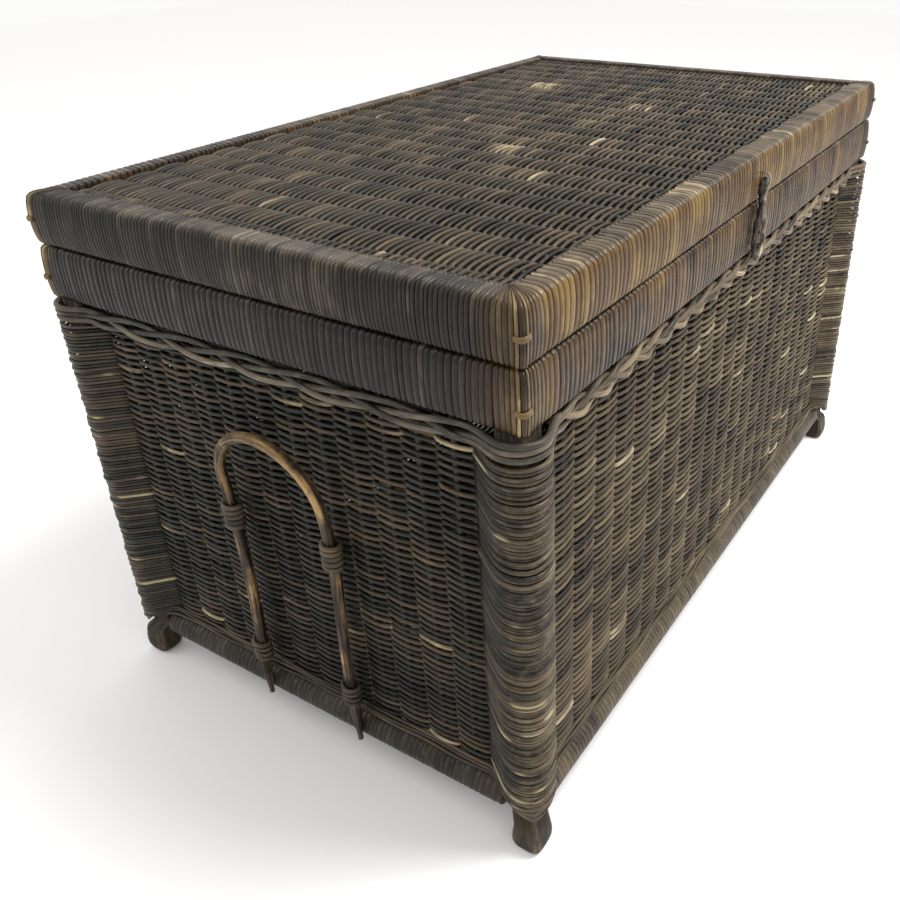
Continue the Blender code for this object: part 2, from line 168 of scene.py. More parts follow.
def eased(tree, value, low, high, out_low=0.0, out_high=1.0):
    """value eased from low..high to out_low..out_high."""
    sockets = {"Value": value, "From Min": low, "From Max": high}
    sockets.update({"To Min": out_low, "To Max": out_high})
    return put(tree, "ShaderNodeMapRange", sockets, interpolation_type="SMOOTHSTEP").outputs[0]


def noise(tree, where, scale, detail, rough=0.6):
    sockets = {"Vector": where, "Scale": scale, "Detail": detail, "Roughness": rough}
    return put(tree, "ShaderNodeTexNoise", sockets).outputs[0]


def group(name, takes, gives):
    """An empty shader node group with named inputs and outputs, and the sockets inside it."""
    tree = bpy.data.node_groups.new(name, "ShaderNodeTree")
    kinds = {"value": "NodeSocketFloat", "colour": "NodeSocketColor", "vector": "NodeSocketVector"}
    for way, labels in (("INPUT", takes), ("OUTPUT", gives)):
        for label, kind in labels.items():
            tree.interface.new_socket(name=label, in_out=way, socket_type=kinds[kind])
    return tree, tree.nodes.new("NodeGroupInput").outputs, tree.nodes.new("NodeGroupOutput").inputs


def use(tree, made, sockets):
    """Places the group made in tree and returns its outputs."""
    return put(tree, "ShaderNodeGroup", sockets, node_tree=made).outputs


# Long fibres that run the length of a strand or a post, with fine dark cracks between them.
fibre_grain, takes, gives = group(
    "fibre grain",
    {"Fibre": "vector", "Length": "value", "Width": "value"},
    {"Streak": "value", "Crack": "value"},
)
across = {
    "X": maths(fibre_grain, "DIVIDE", 1.0, takes["Length"]),
    "Y": maths(fibre_grain, "DIVIDE", 1.0, takes["Width"]),
    "Z": 1.0,
}
spread = put(fibre_grain, "ShaderNodeCombineXYZ", across).outputs[0]
drawn = {0: takes["Fibre"], 1: spread}
drawn = put(fibre_grain, "ShaderNodeVectorMath", drawn, operation="MULTIPLY").outputs[0]
streak = eased(fibre_grain, noise(fibre_grain, drawn, 1.0, 3.0), 0.3, 0.7)
crack = eased(fibre_grain, noise(fibre_grain, drawn, 0.45, 1.0), 0.63, 0.7)
fibre_grain.links.new(streak, gives["Streak"])
fibre_grain.links.new(crack, gives["Crack"])

# Dirt in broad patches, and small pale flecks of old dust and lime.
grime, takes, gives = group(
    "grime",
    {"Place": "vector", "Patch Size": "value", "Fleck Size": "value"},
    {"Patch": "value", "Fleck": "value"},
)
patch = noise(grime, takes["Place"], maths(grime, "DIVIDE", 1.0, takes["Patch Size"]), 4.0)
fleck = noise(grime, takes["Place"], maths(grime, "DIVIDE", 1.0, takes["Fleck Size"]), 2.0, 0.7)
grime.links.new(eased(grime, patch, 0.35, 0.65), gives["Patch"])
grime.links.new(eased(grime, fleck, 0.68, 0.74), gives["Fleck"])

# Places that hands and clothes rub, broken up so that the wear is never an even line.
rubbing, takes, gives = group(
    "rubbing", {"Place": "vector", "Worn": "value", "Streak": "value"}, {"Mask": "value"}
)
broken = maths(rubbing, "SUBTRACT", noise(rubbing, takes["Place"], 110.0, 4.0), 0.62)
broken = maths(rubbing, "ADD", maths(rubbing, "MULTIPLY", broken, 1.6), takes["Worn"])
lifted = maths(rubbing, "MULTIPLY", maths(rubbing, "SUBTRACT", takes["Streak"], 0.5), 0.4)
reach = maths(rubbing, "ADD", broken, lifted)
reach = maths(rubbing, "MULTIPLY", eased(rubbing, reach, 0.1, 0.9), takes["Worn"])
rubbing.links.new(reach, gives["Mask"])

# A strand's own colour, from the darkest to the palest of four.
strand_shade, takes, gives = group(
    "strand shade",
    {"Tone": "value", "Deep": "colour", "Body": "colour", "Light": "colour", "Straw": "colour"},
    {"Color": "colour"},
)
shade = mixed(strand_shade, eased(strand_shade, takes["Tone"], 0.0, 0.4), takes["Deep"], takes["Body"])
shade = mixed(strand_shade, eased(strand_shade, takes["Tone"], 0.4, 0.75), shade, takes["Light"])
shade = mixed(strand_shade, eased(strand_shade, takes["Tone"], 0.8, 1.0), shade, takes["Straw"])
strand_shade.links.new(shade, gives["Color"])


def aged_finish(
    name, sheltered_and_shaded, sunned_and_lit, worn_to, length, width, contrast, gloss, depth,
    patch=0.09, patch_tone=0.2, fleck=0.004, fleck_share=0.12, cracks=0.15,
):
    """Old cane or wood. Two sets of four colours, dark to pale: the first for cane kept from the sun,
    also used as painted shade on the side away from the light, the second for sun-bleached cane,
    also used as painted light on the lit side; gloss is the roughness of the smoothest and the
    roughest fibres; depth is the relief of the grain."""
    material = bpy.data.materials.new(name)
    material.use_nodes = True
    tree = material.node_tree
    tree.nodes.clear()
    place = put(tree, "ShaderNodeTexCoord").outputs["Object"]
    marks = {
        mark: put(tree, "ShaderNodeAttribute", attribute_name=mark).outputs["Fac"]
        for mark in ("tone", "faded_and_lit", "worn")
    }
    fibre = put(tree, "ShaderNodeAttribute", attribute_name="fibre").outputs["Vector"]
    grain = use(tree, fibre_grain, {"Fibre": fibre, "Length": length, "Width": width})
    dirt = use(tree, grime, {"Place": place, "Patch Size": patch, "Fleck Size": fleck})
    rubbed = use(
        tree, rubbing, {"Place": place, "Worn": marks["worn"], "Streak": grain["Streak"]}
    )["Mask"]
    streak = maths(tree, "MULTIPLY", maths(tree, "SUBTRACT", grain["Streak"], 0.5), contrast)
    broad = maths(tree, "MULTIPLY", maths(tree, "SUBTRACT", dirt["Patch"], 0.5), patch_tone)
    tone = maths(tree, "ADD", marks["tone"], maths(tree, "ADD", streak, broad))
    labels = ("Deep", "Body", "Light", "Straw")
    shades = [
        use(tree, strand_shade, {"Tone": tone, **{k: colour(c) for k, c in zip(labels, codes)}})
        for codes in (sheltered_and_shaded, sunned_and_lit)
    ]
    # the sun-bleached colours mixed in by this mark also paint the lit side lighter and the side away from
    # the light darker
    skin = mixed(tree, marks["faded_and_lit"], shades[0]["Color"], shades[1]["Color"])
    skin = mixed(tree, rubbed, skin, colour(worn_to))
    skin = mixed(tree, maths(tree, "MULTIPLY", grain["Crack"], cracks), skin, colour("#17120d"))
    skin = mixed(tree, maths(tree, "MULTIPLY", dirt["Fleck"], fleck_share), skin, colour("#b9b2a4"))
    rough = eased(tree, grain["Streak"], 0.0, 1.0, gloss[1], gloss[0])
    rough = maths(tree, "SUBTRACT", rough, maths(tree, "MULTIPLY", rubbed, 0.12))
    relief = maths(tree, "SUBTRACT", grain["Streak"], maths(tree, "MULTIPLY", grain["Crack"], cracks))
    bump = put(tree, "ShaderNodeBump", {"Strength": 0.8, "Distance": depth, "Height": relief})
    surface = {"Base Color": skin, "Roughness": rough, "Normal": bump.outputs[0]}
    surface["Specular IOR Level"] = 0.26
    shader = put(tree, "ShaderNodeBsdfPrincipled", surface)
    put(tree, "ShaderNodeOutputMaterial", {"Surface": shader.outputs[0]})
    return material


foot_wood = aged_finish(
    "foot wood",
    ("#14100a", "#281f14", "#3c3020", "#5e4e39"),
    ("#1a150f", "#332b20", "#4a3f2f", "#6f614b"),
    "#5c4f3c",
    length=0.03, width=0.0016, contrast=0.4, gloss=(0.5, 0.72), depth=0.0003, patch=0.03, cracks=0.5,
)
FOOT_STEPS = (  # height, half width and how square the section is
    (0.0000, 0.0030, 2.4), (0.0002, 0.0085, 2.8), (0.0012, 0.0114, 3.4), (0.0035, 0.0134, 4.4),
    (0.0075, 0.0142, 6.0), (0.0130, 0.0144, 7.0), (0.0185, 0.0140, 7.0), (0.0240, 0.0132, 7.0),
    (0.0280, 0.0128, 7.0), (0.0340, 0.0124, 7.0), (0.0400, 0.0125, 6.0), (0.0600, 0.0126, 6.0),
)
CORNERS = {  # which way out, and the two sides that meet there
    "front_left": (-1, -1, "front", "left"),
    "front_right": (1, -1, "front", "right"),
    "back_right": (1, 1, "back", "right"),
    "back_left": (-1, 1, "back", "left"),
}
post = Vector([-(low[k] + high[k]) / 2 for k, (low, high) in enumerate(
    (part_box("bottom_rail_left"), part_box("bottom_rail_front")))])  # the posts stand on the rails' lines
FOOT_HALF = 0.01466  # half the width of a foot at its widest
NECK, NECK_RUN = 0.041, 0.009  # the height at which the foot meets the post's line, and how soon
for corner, (sx, sy, _, _) in CORNERS.items():
    low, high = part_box(f"corner_post_{corner}")
    middle = Vector((sx * post.x, sy * post.y, 0))
    step_out = max(abs(low.x), abs(high.x)) - post.x - FOOT_HALF  # the foot stands out past the post
    steps = FOOT_STEPS + tuple(
        (z, 0.0127, 8.0) for z in np.linspace(0.1, high.z - low.z, 10)
    ) + ((high.z - low.z, 0.004, 8.0),)
    angles = np.radians(np.arange(0, 360, 7.5))
    rings = []
    for height, half, square in steps:
        reach = half / (abs(np.cos(angles)) ** square + abs(np.sin(angles)) ** square) ** (1 / square)
        lean = 0.0006 * math.sin(height * 90 + middle.x * 9) * (height > 0.03)
        foot = step_out * min(1, max(0, (NECK - height) / NECK_RUN))
        rings.append(
            xyz(
                middle.x + sx * foot + lean + reach * np.cos(angles),
                middle.y + sy * foot - lean + reach * np.sin(angles),
                low.z + height,
            )
        )
    edge = 0.8 * np.clip(np.abs(np.sin(2 * angles)) - 0.72, 0, 1) / 0.28
    make(
        f"post_{corner}",
        [bundle(np.array([rings]), tone=0.45, worn=edge[None, None, :])],
        foot_wood, "trunk", "dark_wood", f"corner_post_{corner}",
    )

# ---------------------------------------------------------------------------------------------
# Bottom rails: four round bars between the posts, each bound from end to end with split cane.
# The binding is close and even, laid at a slight slant, and has gone grey on top and brown
# underneath.
# ---------------------------------------------------------------------------------------------
def smooth_loop(keys, fineness):
    """A closed curve through the key points, fineness points to each span."""
    keys = np.array(keys, float)
    before, after, later = (np.roll(keys, k, axis=0) for k in (1, -1, -2))
    t = np.linspace(0, 1, fineness, endpoint=False)[None, :, None]
    a, b, c, d = (k[:, None] for k in (before, keys, after, later))
    curve = 0.5 * (
        2 * b + (c - a) * t + (2 * a - 5 * b + 4 * c - d) * t**2 + (3 * b - a - 3 * c + d) * t**3
    )
    return curve.reshape(-1, 2)


def outward_of(loop):
    """The outward normal at each point of a closed (out, up) loop."""
    tangent = np.roll(loop, -1, axis=0) - np.roll(loop, 1, axis=0)
    normal = np.stack([tangent[:, 1], -tangent[:, 0]], -1)
    normal /= np.linalg.norm(normal, axis=1)[:, None]
    return normal * np.sign(((loop - loop.mean(axis=0)) * normal).sum())


def turns_of_cane(length, width, unevenness=0.13):
    """Where each turn of a binding starts and ends along a bar, and how deep the groove is
    there. Every few turns sit a little apart."""
    count = max(3, round(length / width))
    widths = 1 + unevenness * chance.standard_normal(count).clip(-2, 2)
    edges = np.concatenate([[0], np.cumsum(widths)]) * length / widths.sum()
    grooves = 0.0009 + 0.0012 * chance.random(count + 1) ** 2
    return edges, grooves


def batches(count, middle, spread, run=14, own=0.11):
    """A tone for each turn: long lengths of one cane, and each turn a little different."""
    tones, n = np.empty(count), 0
    while n < count:
        m = n + 1 + int(chance.exponential(run))
        tones[n:m] = middle + spread * chance.standard_normal()
        n = m
    return np.clip(tones + own * chance.standard_normal(count), 0, 1)


CROWN = np.array([0, 0.07, 0.2, 0.38, 0.62, 0.8, 0.93, 1.0])  # points across one turn of cane
CROWN_DIP = np.array([1.0, 0.48, 0.16, 0.02, 0.02, 0.16, 0.48, 1.0])


def binding(loop, place, run, out, up, edges, grooves, tone, faded_and_lit=0.0, worn=None, slant=0.0, top_sheen=0.0):
    """Turns of split cane round a bar. loop is the bar's section in (out, up), from the point
    place, and edges run along it in the direction run."""
    loop = np.asarray(loop)
    normal = outward_of(loop)
    steps, count = len(loop), len(edges) - 1
    turn = np.arange(steps) / steps
    wander = (
        np.sin(edges[:, None] * 61 + 5 * turn[None] * math.tau / 3)
        + np.sin(edges[:, None] * 173 + 2.2 + turn[None] * math.tau)
    ) * 0.00018
    wander *= np.minimum(1, np.minimum(edges, edges[-1] - edges) / 0.012)[:, None]
    shift = edges[:, None] + wander + slant * (turn[None] - 0.5)
    shift = shift.clip(0, edges[-1])
    dip = grooves[:-1, None] * (1 - CROWN) + grooves[1:, None] * CROWN
    dip = dip * CROWN_DIP + 0.00012 * chance.random(count)[:, None]
    u = shift[:-1, :, None] * (1 - CROWN) + shift[1:, :, None] * CROWN
    o = loop[None, :, None, 0] - normal[None, :, None, 0] * dip[:, None, :]
    z = loop[None, :, None, 1] - normal[None, :, None, 1] * dip[:, None, :]
    place, run, out, up = (np.array(v, float) for v in (place, run, out, up))
    points = place + u[..., None] * run + o[..., None] * out + z[..., None] * up
    rubbed = 0.0 if worn is None else (worn[None, :, None] * (1 - CROWN_DIP)[None, None, :])
    # flat tops are painted lighter and a light mauve grey in place of the gold: a painted sheen of the light
    # from above
    painted_top_sheen = np.clip((normal[:, 1] - 0.45) / 0.4, 0, 1)[None, :, None] * top_sheen
    faded_and_lit = np.broadcast_to(faded_and_lit, count)[:, None, None] * (1 - 0.85 * painted_top_sheen)
    # turns are painted darker toward their edges, a painted shade in the grooves between turns
    shade = tone[:, None, None] + 0.22 * painted_top_sheen - 0.4 * CROWN_DIP**2
    return bundle(points, shade, faded_and_lit, rubbed, close_steps=True, close_across=False)


bound_rail = aged_finish(
    "bound rail cane",
    ("#0d0b09", "#1e1b14", "#352c20", "#7c7059"),
    ("#1c1510", "#524737", "#706249", "#a09375"),
    "#857a67",
    length=0.014, width=0.0013, contrast=0.18, gloss=(0.36, 0.56), depth=0.00006, patch=0.06,
    patch_tone=0.3,
)
CANE = 0.0058  # width of one turn on the bottom rails
RAIL_DROP = 0.003  # how far below the bar's own line the binding is laid
RAILS = {  # where each bar runs, which way is out, and how sun-bleached it is, also painting the lit front lighter and the left end darker, as in shade
    "front": ((1, 0, 0), (0, -1, 0), 0.9),
    "right": ((0, 1, 0), (1, 0, 0), 0.45),
    "back": ((-1, 0, 0), (0, 1, 0), 0.55),
    "left": ((0, -1, 0), (-1, 0, 0), 0.12),
}
for side, (run, out, sun) in RAILS.items():
    low, high = (Vector(v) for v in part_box(f"bottom_rail_{side}"))
    middle, half = (low + high) / 2, (high - low) / 2
    middle.z -= RAIL_DROP
    reach = half.dot(Vector([abs(v) for v in run]))
    radius = half.z - 0.0002
    around = np.linspace(-2.6, -2.6 + math.tau, 24, endpoint=False)
    loop = radius * np.stack([np.cos(around), np.sin(around)], -1)
    edges, grooves = turns_of_cane(2 * reach, CANE)
    grooves *= 0.3
    grooves[[0, -1]] = 0.9 * radius  # the last turns close in over the end of the bar
    tone = batches(len(edges) - 1, 0.36, 0.07, own=0.07)
    bar = binding(
        loop, middle - Vector(run) * reach, run, out, (0, 0, 1), edges, grooves, tone, sun,
        worn=0.5 * np.clip(np.sin(around) + 0.1, 0, 1), slant=0.005,
    )
    make(f"bound_rail_{side}", [bar], bound_rail, "trunk", "wrapped_cane", f"bottom_rail_{side}")

# ---------------------------------------------------------------------------------------------
# Floor: two round bearers pegged between the long rails, and a panel of the same plain weave
# as the walls that lies on them.
# ---------------------------------------------------------------------------------------------
def strands(paths, thick, outward, flat=1.0, sides=6, tone=0.4, faded_and_lit=0.0, worn=0.0, close=False):
    """Round canes along paths (strands x points). outward is the way the weave faces; flat is
    the cane's depth that way against its height."""
    paths = np.asarray(paths, float)
    shape = paths.shape[:2]
    thick, tone, faded_and_lit, worn = (np.broadcast_to(v, shape) for v in (thick, tone, faded_and_lit, worn))
    outward = np.broadcast_to(outward, paths.shape)
    if close:
        tangent = np.roll(paths, -1, axis=1) - np.roll(paths, 1, axis=1)
    else:
        tangent = np.gradient(paths, axis=1)
        ends = np.r_[0, 0 : shape[1], shape[1] - 1]
        thick = thick[:, ends] * np.r_[0.1, np.ones(shape[1]), 0.1]
        paths, tangent, outward = paths[:, ends], tangent[:, ends], outward[:, ends]
        tone, faded_and_lit, worn = tone[:, ends], faded_and_lit[:, ends], worn[:, ends]
    tangent = tangent / np.linalg.norm(tangent, axis=2)[..., None].clip(1e-9)
    side = np.cross(tangent, outward)
    side /= np.linalg.norm(side, axis=2)[..., None].clip(1e-9)
    face = np.cross(side, tangent)
    angle = np.arange(sides) * math.tau / sides
    points = paths[:, :, None] + thick[:, :, None, None] * (
        flat * np.cos(angle)[None, None, :, None] * face[:, :, None]
        + np.sin(angle)[None, None, :, None] * side[:, :, None]
    )
    marks = (tone[:, :, None], faded_and_lit[:, :, None], worn[:, :, None])
    return bundle(points, *marks, close_steps=close)


def over_and_under(edges, rows, steps):
    """How a row of weaving runs between stakes whose columns have these edges: distance along,
    how far out or in of the stakes it is, and which stake it is passing. The next row always
    passes the other side."""
    stakes = len(edges) - 1
    t = 0.5 * (1 - np.cos(math.pi * np.arange(steps) / steps))
    stake = np.repeat(np.arange(stakes), steps)
    along = edges[stake] + np.tile(t, stakes) * np.diff(edges)[stake]
    arch = np.tile((4 * t * (1 - t)) ** 0.56, stakes)
    side = 1 - 2 * ((np.arange(rows)[:, None] + stake[None]) % 2)
    out = np.concatenate([side * arch, np.zeros((rows, 1))], axis=1)
    return np.append(along, edges[-1]), out, np.append(stake, stakes - 1)


woven_cane = aged_finish(
    "woven cane",
    ("#0f0e0c", "#292720", "#4b3f32", "#a39374"),
    ("#15110c", "#43392a", "#635540", "#a99c7e"),
    "#81745e",
    length=0.014, width=0.0011, contrast=0.14, gloss=(0.34, 0.54), depth=0.00005,
    patch_tone=0.26,
)
low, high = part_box("floor_panel")
FLOOR_CANE = 0.0043
rows = int((high.y - low.y) / FLOOR_CANE)
stakes = 19
along, out, stake = over_and_under(np.linspace(low.x, high.x, stakes + 1), rows, 6)
level = (low.z + high.z) / 2
side_to_side = np.linspace(low.y + 0.003, high.y - 0.003, rows)
tone = 0.45 + 0.08 * chance.standard_normal((rows, stakes))[:, stake]
path = xyz(
    along * 0.998, side_to_side[:, None] + 0.0003 * np.sin(along * 19)[None], level + 0.0019 * out
)
floor_weave = [strands(path, 0.0021, (0, 0, 1), sides=5, tone=tone, faded_and_lit=0.35)]
bars = (np.arange(stakes) + 0.5 - stakes / 2) * (high.x - low.x) / stakes
ends = np.array([low.y + 0.002, 0.0, high.y - 0.002])
path = xyz(bars[:, None], ends[None], level)
floor_weave.append(strands(path, 0.0022, (0, 0, 1), tone=0.3, faded_and_lit=0.3))
make("floor_weave", floor_weave, woven_cane, "trunk", "dark_cane", "floor_panel")
for side in ("left", "right"):
    low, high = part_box(f"floor_bearer_{side}")
    middle, radius = (low + high) / 2, (high.z - low.z) / 2
    y = np.linspace(low.y + 0.001, high.y - 0.001, 30)
    thick = radius * (0.97 + 0.02 * np.sin(y * 41))
    path = xyz(middle.x + 0.0008 * np.sin(y * 17), y, middle.z)
    bearer = strands(path[None], thick[None], (0, 0, 1), sides=14, tone=0.5)
    make(f"bearer_{side}", [bearer], foot_wood, "trunk", "dark_wood", f"floor_bearer_{side}")

# ---------------------------------------------------------------------------------------------
# Woven sides: upright stakes, and round cane woven in and out of them one row at a time, the
# next row always passing the other side. Every row runs on round the outside of each corner
# post, and the lowest rows there are drawn down into a point over the ends of the rails.
# ---------------------------------------------------------------------------------------------
ROW = 0.0034  # from one row to the next
THICK = 0.00182  # half the height of one cane
wall_low, wall_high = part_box("woven_wall_front")
left_low, left_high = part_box("woven_wall_left")
corner_low, corner_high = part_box("woven_corner_front_left")
half_long, half_short = wall_high.x, left_high.y
face_y, face_x = -(wall_low.y + wall_high.y) / 2 + 0.0006, -(left_low.x + left_high.x) / 2 + 0.0006
swing = 0.0034  # how far a cane's middle leaves the line of the stakes
rows = int((wall_high.z - wall_low.z) / ROW)
levels = wall_low.z + ROW * (np.arange(rows) + 0.5)


def sag(where):
    """Rows are never quite level: a slow rise and fall along the wall, by height."""
    z = levels[:, None]
    return 0.0008 * np.sin(where * 11 + z * 9) * np.sin(z * 13 + 1.0) + 0.0004 * np.sin(
        where * 37 + z * 21
    )


def woven_wall(stakes, half, place):
    """One wall's rows and stakes. place turns (along, out, up) into a point."""
    along, out, stake = over_and_under(np.linspace(-half, half, stakes + 1), rows, 10)
    bow = np.clip(out, 0, 1)
    knock = 0.00032 * chance.standard_normal((rows, stakes))[:, stake] * np.abs(out)
    height = levels[:, None] + sag(along[None]) * np.sin(np.pi * (along / half + 1) / 2) + knock
    depth = swing * out * (1 + 0.05 * chance.standard_normal((rows, stakes))[:, stake] * bow)
    fuller = 1 + 0.7 * np.clip(-out, 0, 1)  # inner strokes are made fuller, to close the gaps
    return along, place(along, depth, height), stake, fuller


def row_tones(count, stakes, middle, pale_share):
    """A tone for each stroke of each row: cane changes along a row, and now and then one
    stroke has kept its pale skin."""
    tones = np.empty((count, stakes))
    for n in range(count):
        tones[n] = batches(stakes, middle, 0.12, run=7, own=0.1)
    pale = chance.random(tones.shape)
    tones[pale < pale_share] += 0.22
    tones[pale < pale_share * 0.15] = 0.8
    return tones


WALLS = {  # stakes, half its span, sun-fading, also painting the lit front lighter and the shaded left end darker, middle tone, share of pale strokes
    "front": (21, half_long, 1.0, 0.42, 0.055),
    "right": (12, half_short, 0.55, 0.40, 0.03),
    "back": (21, half_long, 0.6, 0.40, 0.03),
    "left": (12, half_short, 0.0, 0.42, 0.03),
}
FACES = {
    "front": lambda a, d, z: xyz(a, -(face_y + d), z),
    "right": lambda a, d, z: xyz(face_x + d, a, z),
    "back": lambda a, d, z: xyz(-a, face_y + d, z),
    "left": lambda a, d, z: xyz(-(face_x + d), -a, z),
}
for side, (stakes, half, sun, middle, pale_share) in WALLS.items():
    place, out = FACES[side], np.array(RAILS[side][1], float)
    along, path, stake, fuller = woven_wall(stakes, half, place)
    tones = row_tones(rows, stakes, middle, pale_share)
    thick = THICK * (1 + 0.06 * chance.standard_normal((rows, 1))) * fuller
    cut = len(along) // 2 + 1
    bars = (np.arange(stakes) + 0.5 - stakes / 2) * 2 * half / stakes
    z = np.linspace(wall_low.z, wall_high.z, 12)
    for name, take, keep in (
        ("start", slice(0, cut), bars < 0.001), ("end", slice(cut - 1, None), bars >= 0.001)
    ):
        stretch = strands(
            path[:, take], thick[:, take], out, tone=tones[:, stake[take]], faded_and_lit=sun
        )
        bar = bars[keep][:, None]
        upright = place(bar + 0.0005 * np.sin(z * 60 + bar * 300), 0.0, z)
        uprights = strands(upright, 0.0034, out, sides=8, tone=0.22, faded_and_lit=sun * 0.6)
        make(
            f"weave_{side}_{name}", [stretch, uprights], woven_cane, "trunk", "dark_cane",
            f"woven_wall_{side}",
        )

# Round the corners, seen from the post's middle: from the end of the long wall, out to the
# bulge over the post, round it and back to the end of the short wall.
bulge = -corner_low.x - post.x - THICK * 1.1
from_long = np.array([half_long - post.x, face_y - post.y])
from_short = np.array([face_x - post.x, half_short - post.y])


def touch(point, turn):
    """The angle at which a straight run from point meets the bulge."""
    return math.atan2(point[1], point[0]) + turn * math.acos(bulge / np.hypot(*point))


arc = np.linspace(touch(from_long, -1), touch(from_short, 1), 19)
ring = bulge * np.stack([np.cos(arc), np.sin(arc)], -1)
lead = np.array([0.0, 0.25, 0.55, 0.8])[:, None]
round_corner = np.concatenate(
    [from_long + (ring[0] - from_long) * lead, ring, ring[-1] + (from_short - ring[-1]) * (1 - lead[::-1])]
)
round_corner[1:-1] = (round_corner[:-2] + 2 * round_corner[1:-1] + round_corner[2:]) / 4
bend = np.linspace(-1, 1, len(round_corner))  # 0 at the middle of the corner
extra = int((wall_low.z - corner_low.z) / ROW)
top_rows = int((corner_high.z - wall_low.z) / ROW) + 1
corner_levels = wall_low.z + ROW * (np.arange(-extra, top_rows) + 0.5)
for corner, (sx, sy, first, second) in CORNERS.items():
    z = corner_levels[:, None] + np.zeros(len(bend))
    below = np.clip(wall_low.z + 0.0016 - corner_levels, 0, None)[:, None]
    z += below * 0.97 * np.clip(np.abs(bend) / 0.62, 0, 1) ** 1.15
    droop = np.clip((corner_levels[-1] - corner_levels) / 0.05, 0, 1)
    droop = droop * np.clip((corner_levels - corner_low.z) / 0.03, 0, 1)
    droop = droop * (0.006 + 0.006 * np.exp(-((corner_levels - wall_low.z) / 0.07) ** 2))
    z -= droop[:, None] * (1 - np.abs(bend) ** 1.5)
    z += 0.0004 * chance.standard_normal((len(z), 1)) * (1 - bend**2)
    z += 0.0006 * np.sin(z * 47 + sx) * (1 - bend**2)
    second_row = (np.arange(len(z)) % 2)[:, None]  # rows go round in pairs, one a little behind
    stand = (0.0004 * chance.standard_normal((len(z), 1)) - 0.0007 * second_row) * (1 - bend**2)
    stand = 1 + stand / bulge
    path = xyz(
        sx * (post.x + stand * round_corner[:, 0]), sy * (post.y + stand * round_corner[:, 1]), z
    )
    outward = xyz(sx * round_corner[:, 0], sy * round_corner[:, 1], 0.0)
    outward = outward / np.linalg.norm(outward, axis=1)[:, None]
    # round the corner the mix goes over from one wall's sun-bleaching, and painted light, to the other's
    suns = WALLS[first][2], WALLS[second][2]
    sun = suns[0] + (suns[1] - suns[0]) * np.clip(bend * 1.3 + 0.5, 0, 1)
    # the row a little behind is painted darker, a painted shade
    tone = batches(len(z), 0.5, 0.09, run=2, own=0.19)[:, None] - 0.08 * second_row + 0 * bend
    part = chance.integers(0, len(bend), len(z))[:, None]
    near_part = np.exp(-(((np.arange(len(bend))[None] - part) / 3.2) ** 2))
    tone = tone + near_part * np.where(chance.random((len(z), 1)) < 0.3, 0.4, 0.0)
    thick = 0.0016 * (1 + 0.09 * chance.standard_normal((len(z), 1)))
    rows_round = strands(
        path, thick, outward[None], flat=1.1, sides=8, tone=tone, faded_and_lit=sun[None],
        worn=0.5 * (1 - bend**2)[None],
    )
    make(
        f"corner_weave_{corner}", [rows_round], woven_cane, "trunk", "dark_cane",
        f"woven_corner_{corner}",
    )

# The lowest rows run on along the foot of each wall, on top of the rail.
past = 0.028  # how far each end runs on toward the corner
for side, (_, half, sun, _, _) in WALLS.items():
    place, out = FACES[side], np.array(RAILS[side][1], float)
    along = np.linspace(-half - past, half + past, 120)
    beyond = np.clip((np.abs(along) - half) / past, 0, 1)
    courses = np.arange(3)[:, None]
    z = wall_low.z + 0.0004 + 0.0031 * courses
    z = z + 0.0006 * np.sin(along * (31 + 7 * courses) + courses * 2)
    z = z - beyond**2 * (0.0042 + 0.0012 * courses)
    depth = 0.0075 - 0.0014 * courses + 0.0007 * np.sin(along * (83 - 9 * courses) + courses)
    depth = depth + (0.0075 + 0.0012 * courses) * (1 - np.cos(beyond * math.pi)) / 2
    path = place(along, depth, z)
    tone = 0.45 + 0.14 * np.sin(along * 23 + courses * 1.7) + 0.1 * chance.random((3, 1))
    make(
        f"foot_courses_{side}",
        [strands(path, 0.0017, out, tone=tone, faded_and_lit=min(1.0, sun + 0.25))],
        woven_cane, "trunk", "dark_cane",
    )

# ---------------------------------------------------------------------------------------------
# Rim: a square wooden frame round the top of the basket, bound with split cane. The sides of
# the binding belly out a little and draw in at the lower edge. At the corners the cane is
# folded over the top, with three upright strips at the arris held by one tie.
# ---------------------------------------------------------------------------------------------
bound_cane = aged_finish(
    "bound band cane",
    ("#0e0c09", "#211c17", "#51473b", "#877960"),
    ("#1c120a", "#50391b", "#755c2c", "#b59d68"),
    "#967948",
    length=0.018, width=0.0013, contrast=0.16, gloss=(0.26, 0.46), depth=0.00006,
    patch=0.05, patch_tone=0.26, fleck=0.0022, fleck_share=0.16,
)
BAND = {"rim": (0.0067, 0.0060), "lid": (0.0067, 0.0038)}  # one turn, on long sides and on ends


def band_section(width, height, shoulder, tuck):
    """The section of a bound frame member: out from its inner face, and up from its foot.
    shoulder is the upper round, tuck is how far the lower edge draws in."""
    keys = (
        (0.3, 2.0), (2.0, 0.4), (width * 0.45, 0.15), (width - tuck - 2.6, 0.3),
        (width - tuck, 1.6), (width - tuck * 0.55, 5.0), (width - tuck * 0.16, height * 0.26),
        (width, height * 0.48), (width - 0.3, height * 0.68),
        (width - shoulder * 0.26, height - shoulder * 0.55),
        (width - shoulder * 0.85, height - shoulder * 0.1), (width - shoulder * 1.6, height - 0.1),
        (width * 0.35, height - 0.15), (3.0, height - 0.5), (0.7, height - 2.0), (0.1, height * 0.5),
    )
    return smooth_loop(np.array(keys) / 1000, 2)


def arris_wear(loop, strength):
    """More rubbed toward the top outer shoulder of a section."""
    out, up = loop[:, 0] / loop[:, 0].max(), loop[:, 1] / loop[:, 1].max()
    return strength * np.exp(-(((out - 0.9) / 0.16) ** 2) - ((up - 0.88) / 0.16) ** 2)


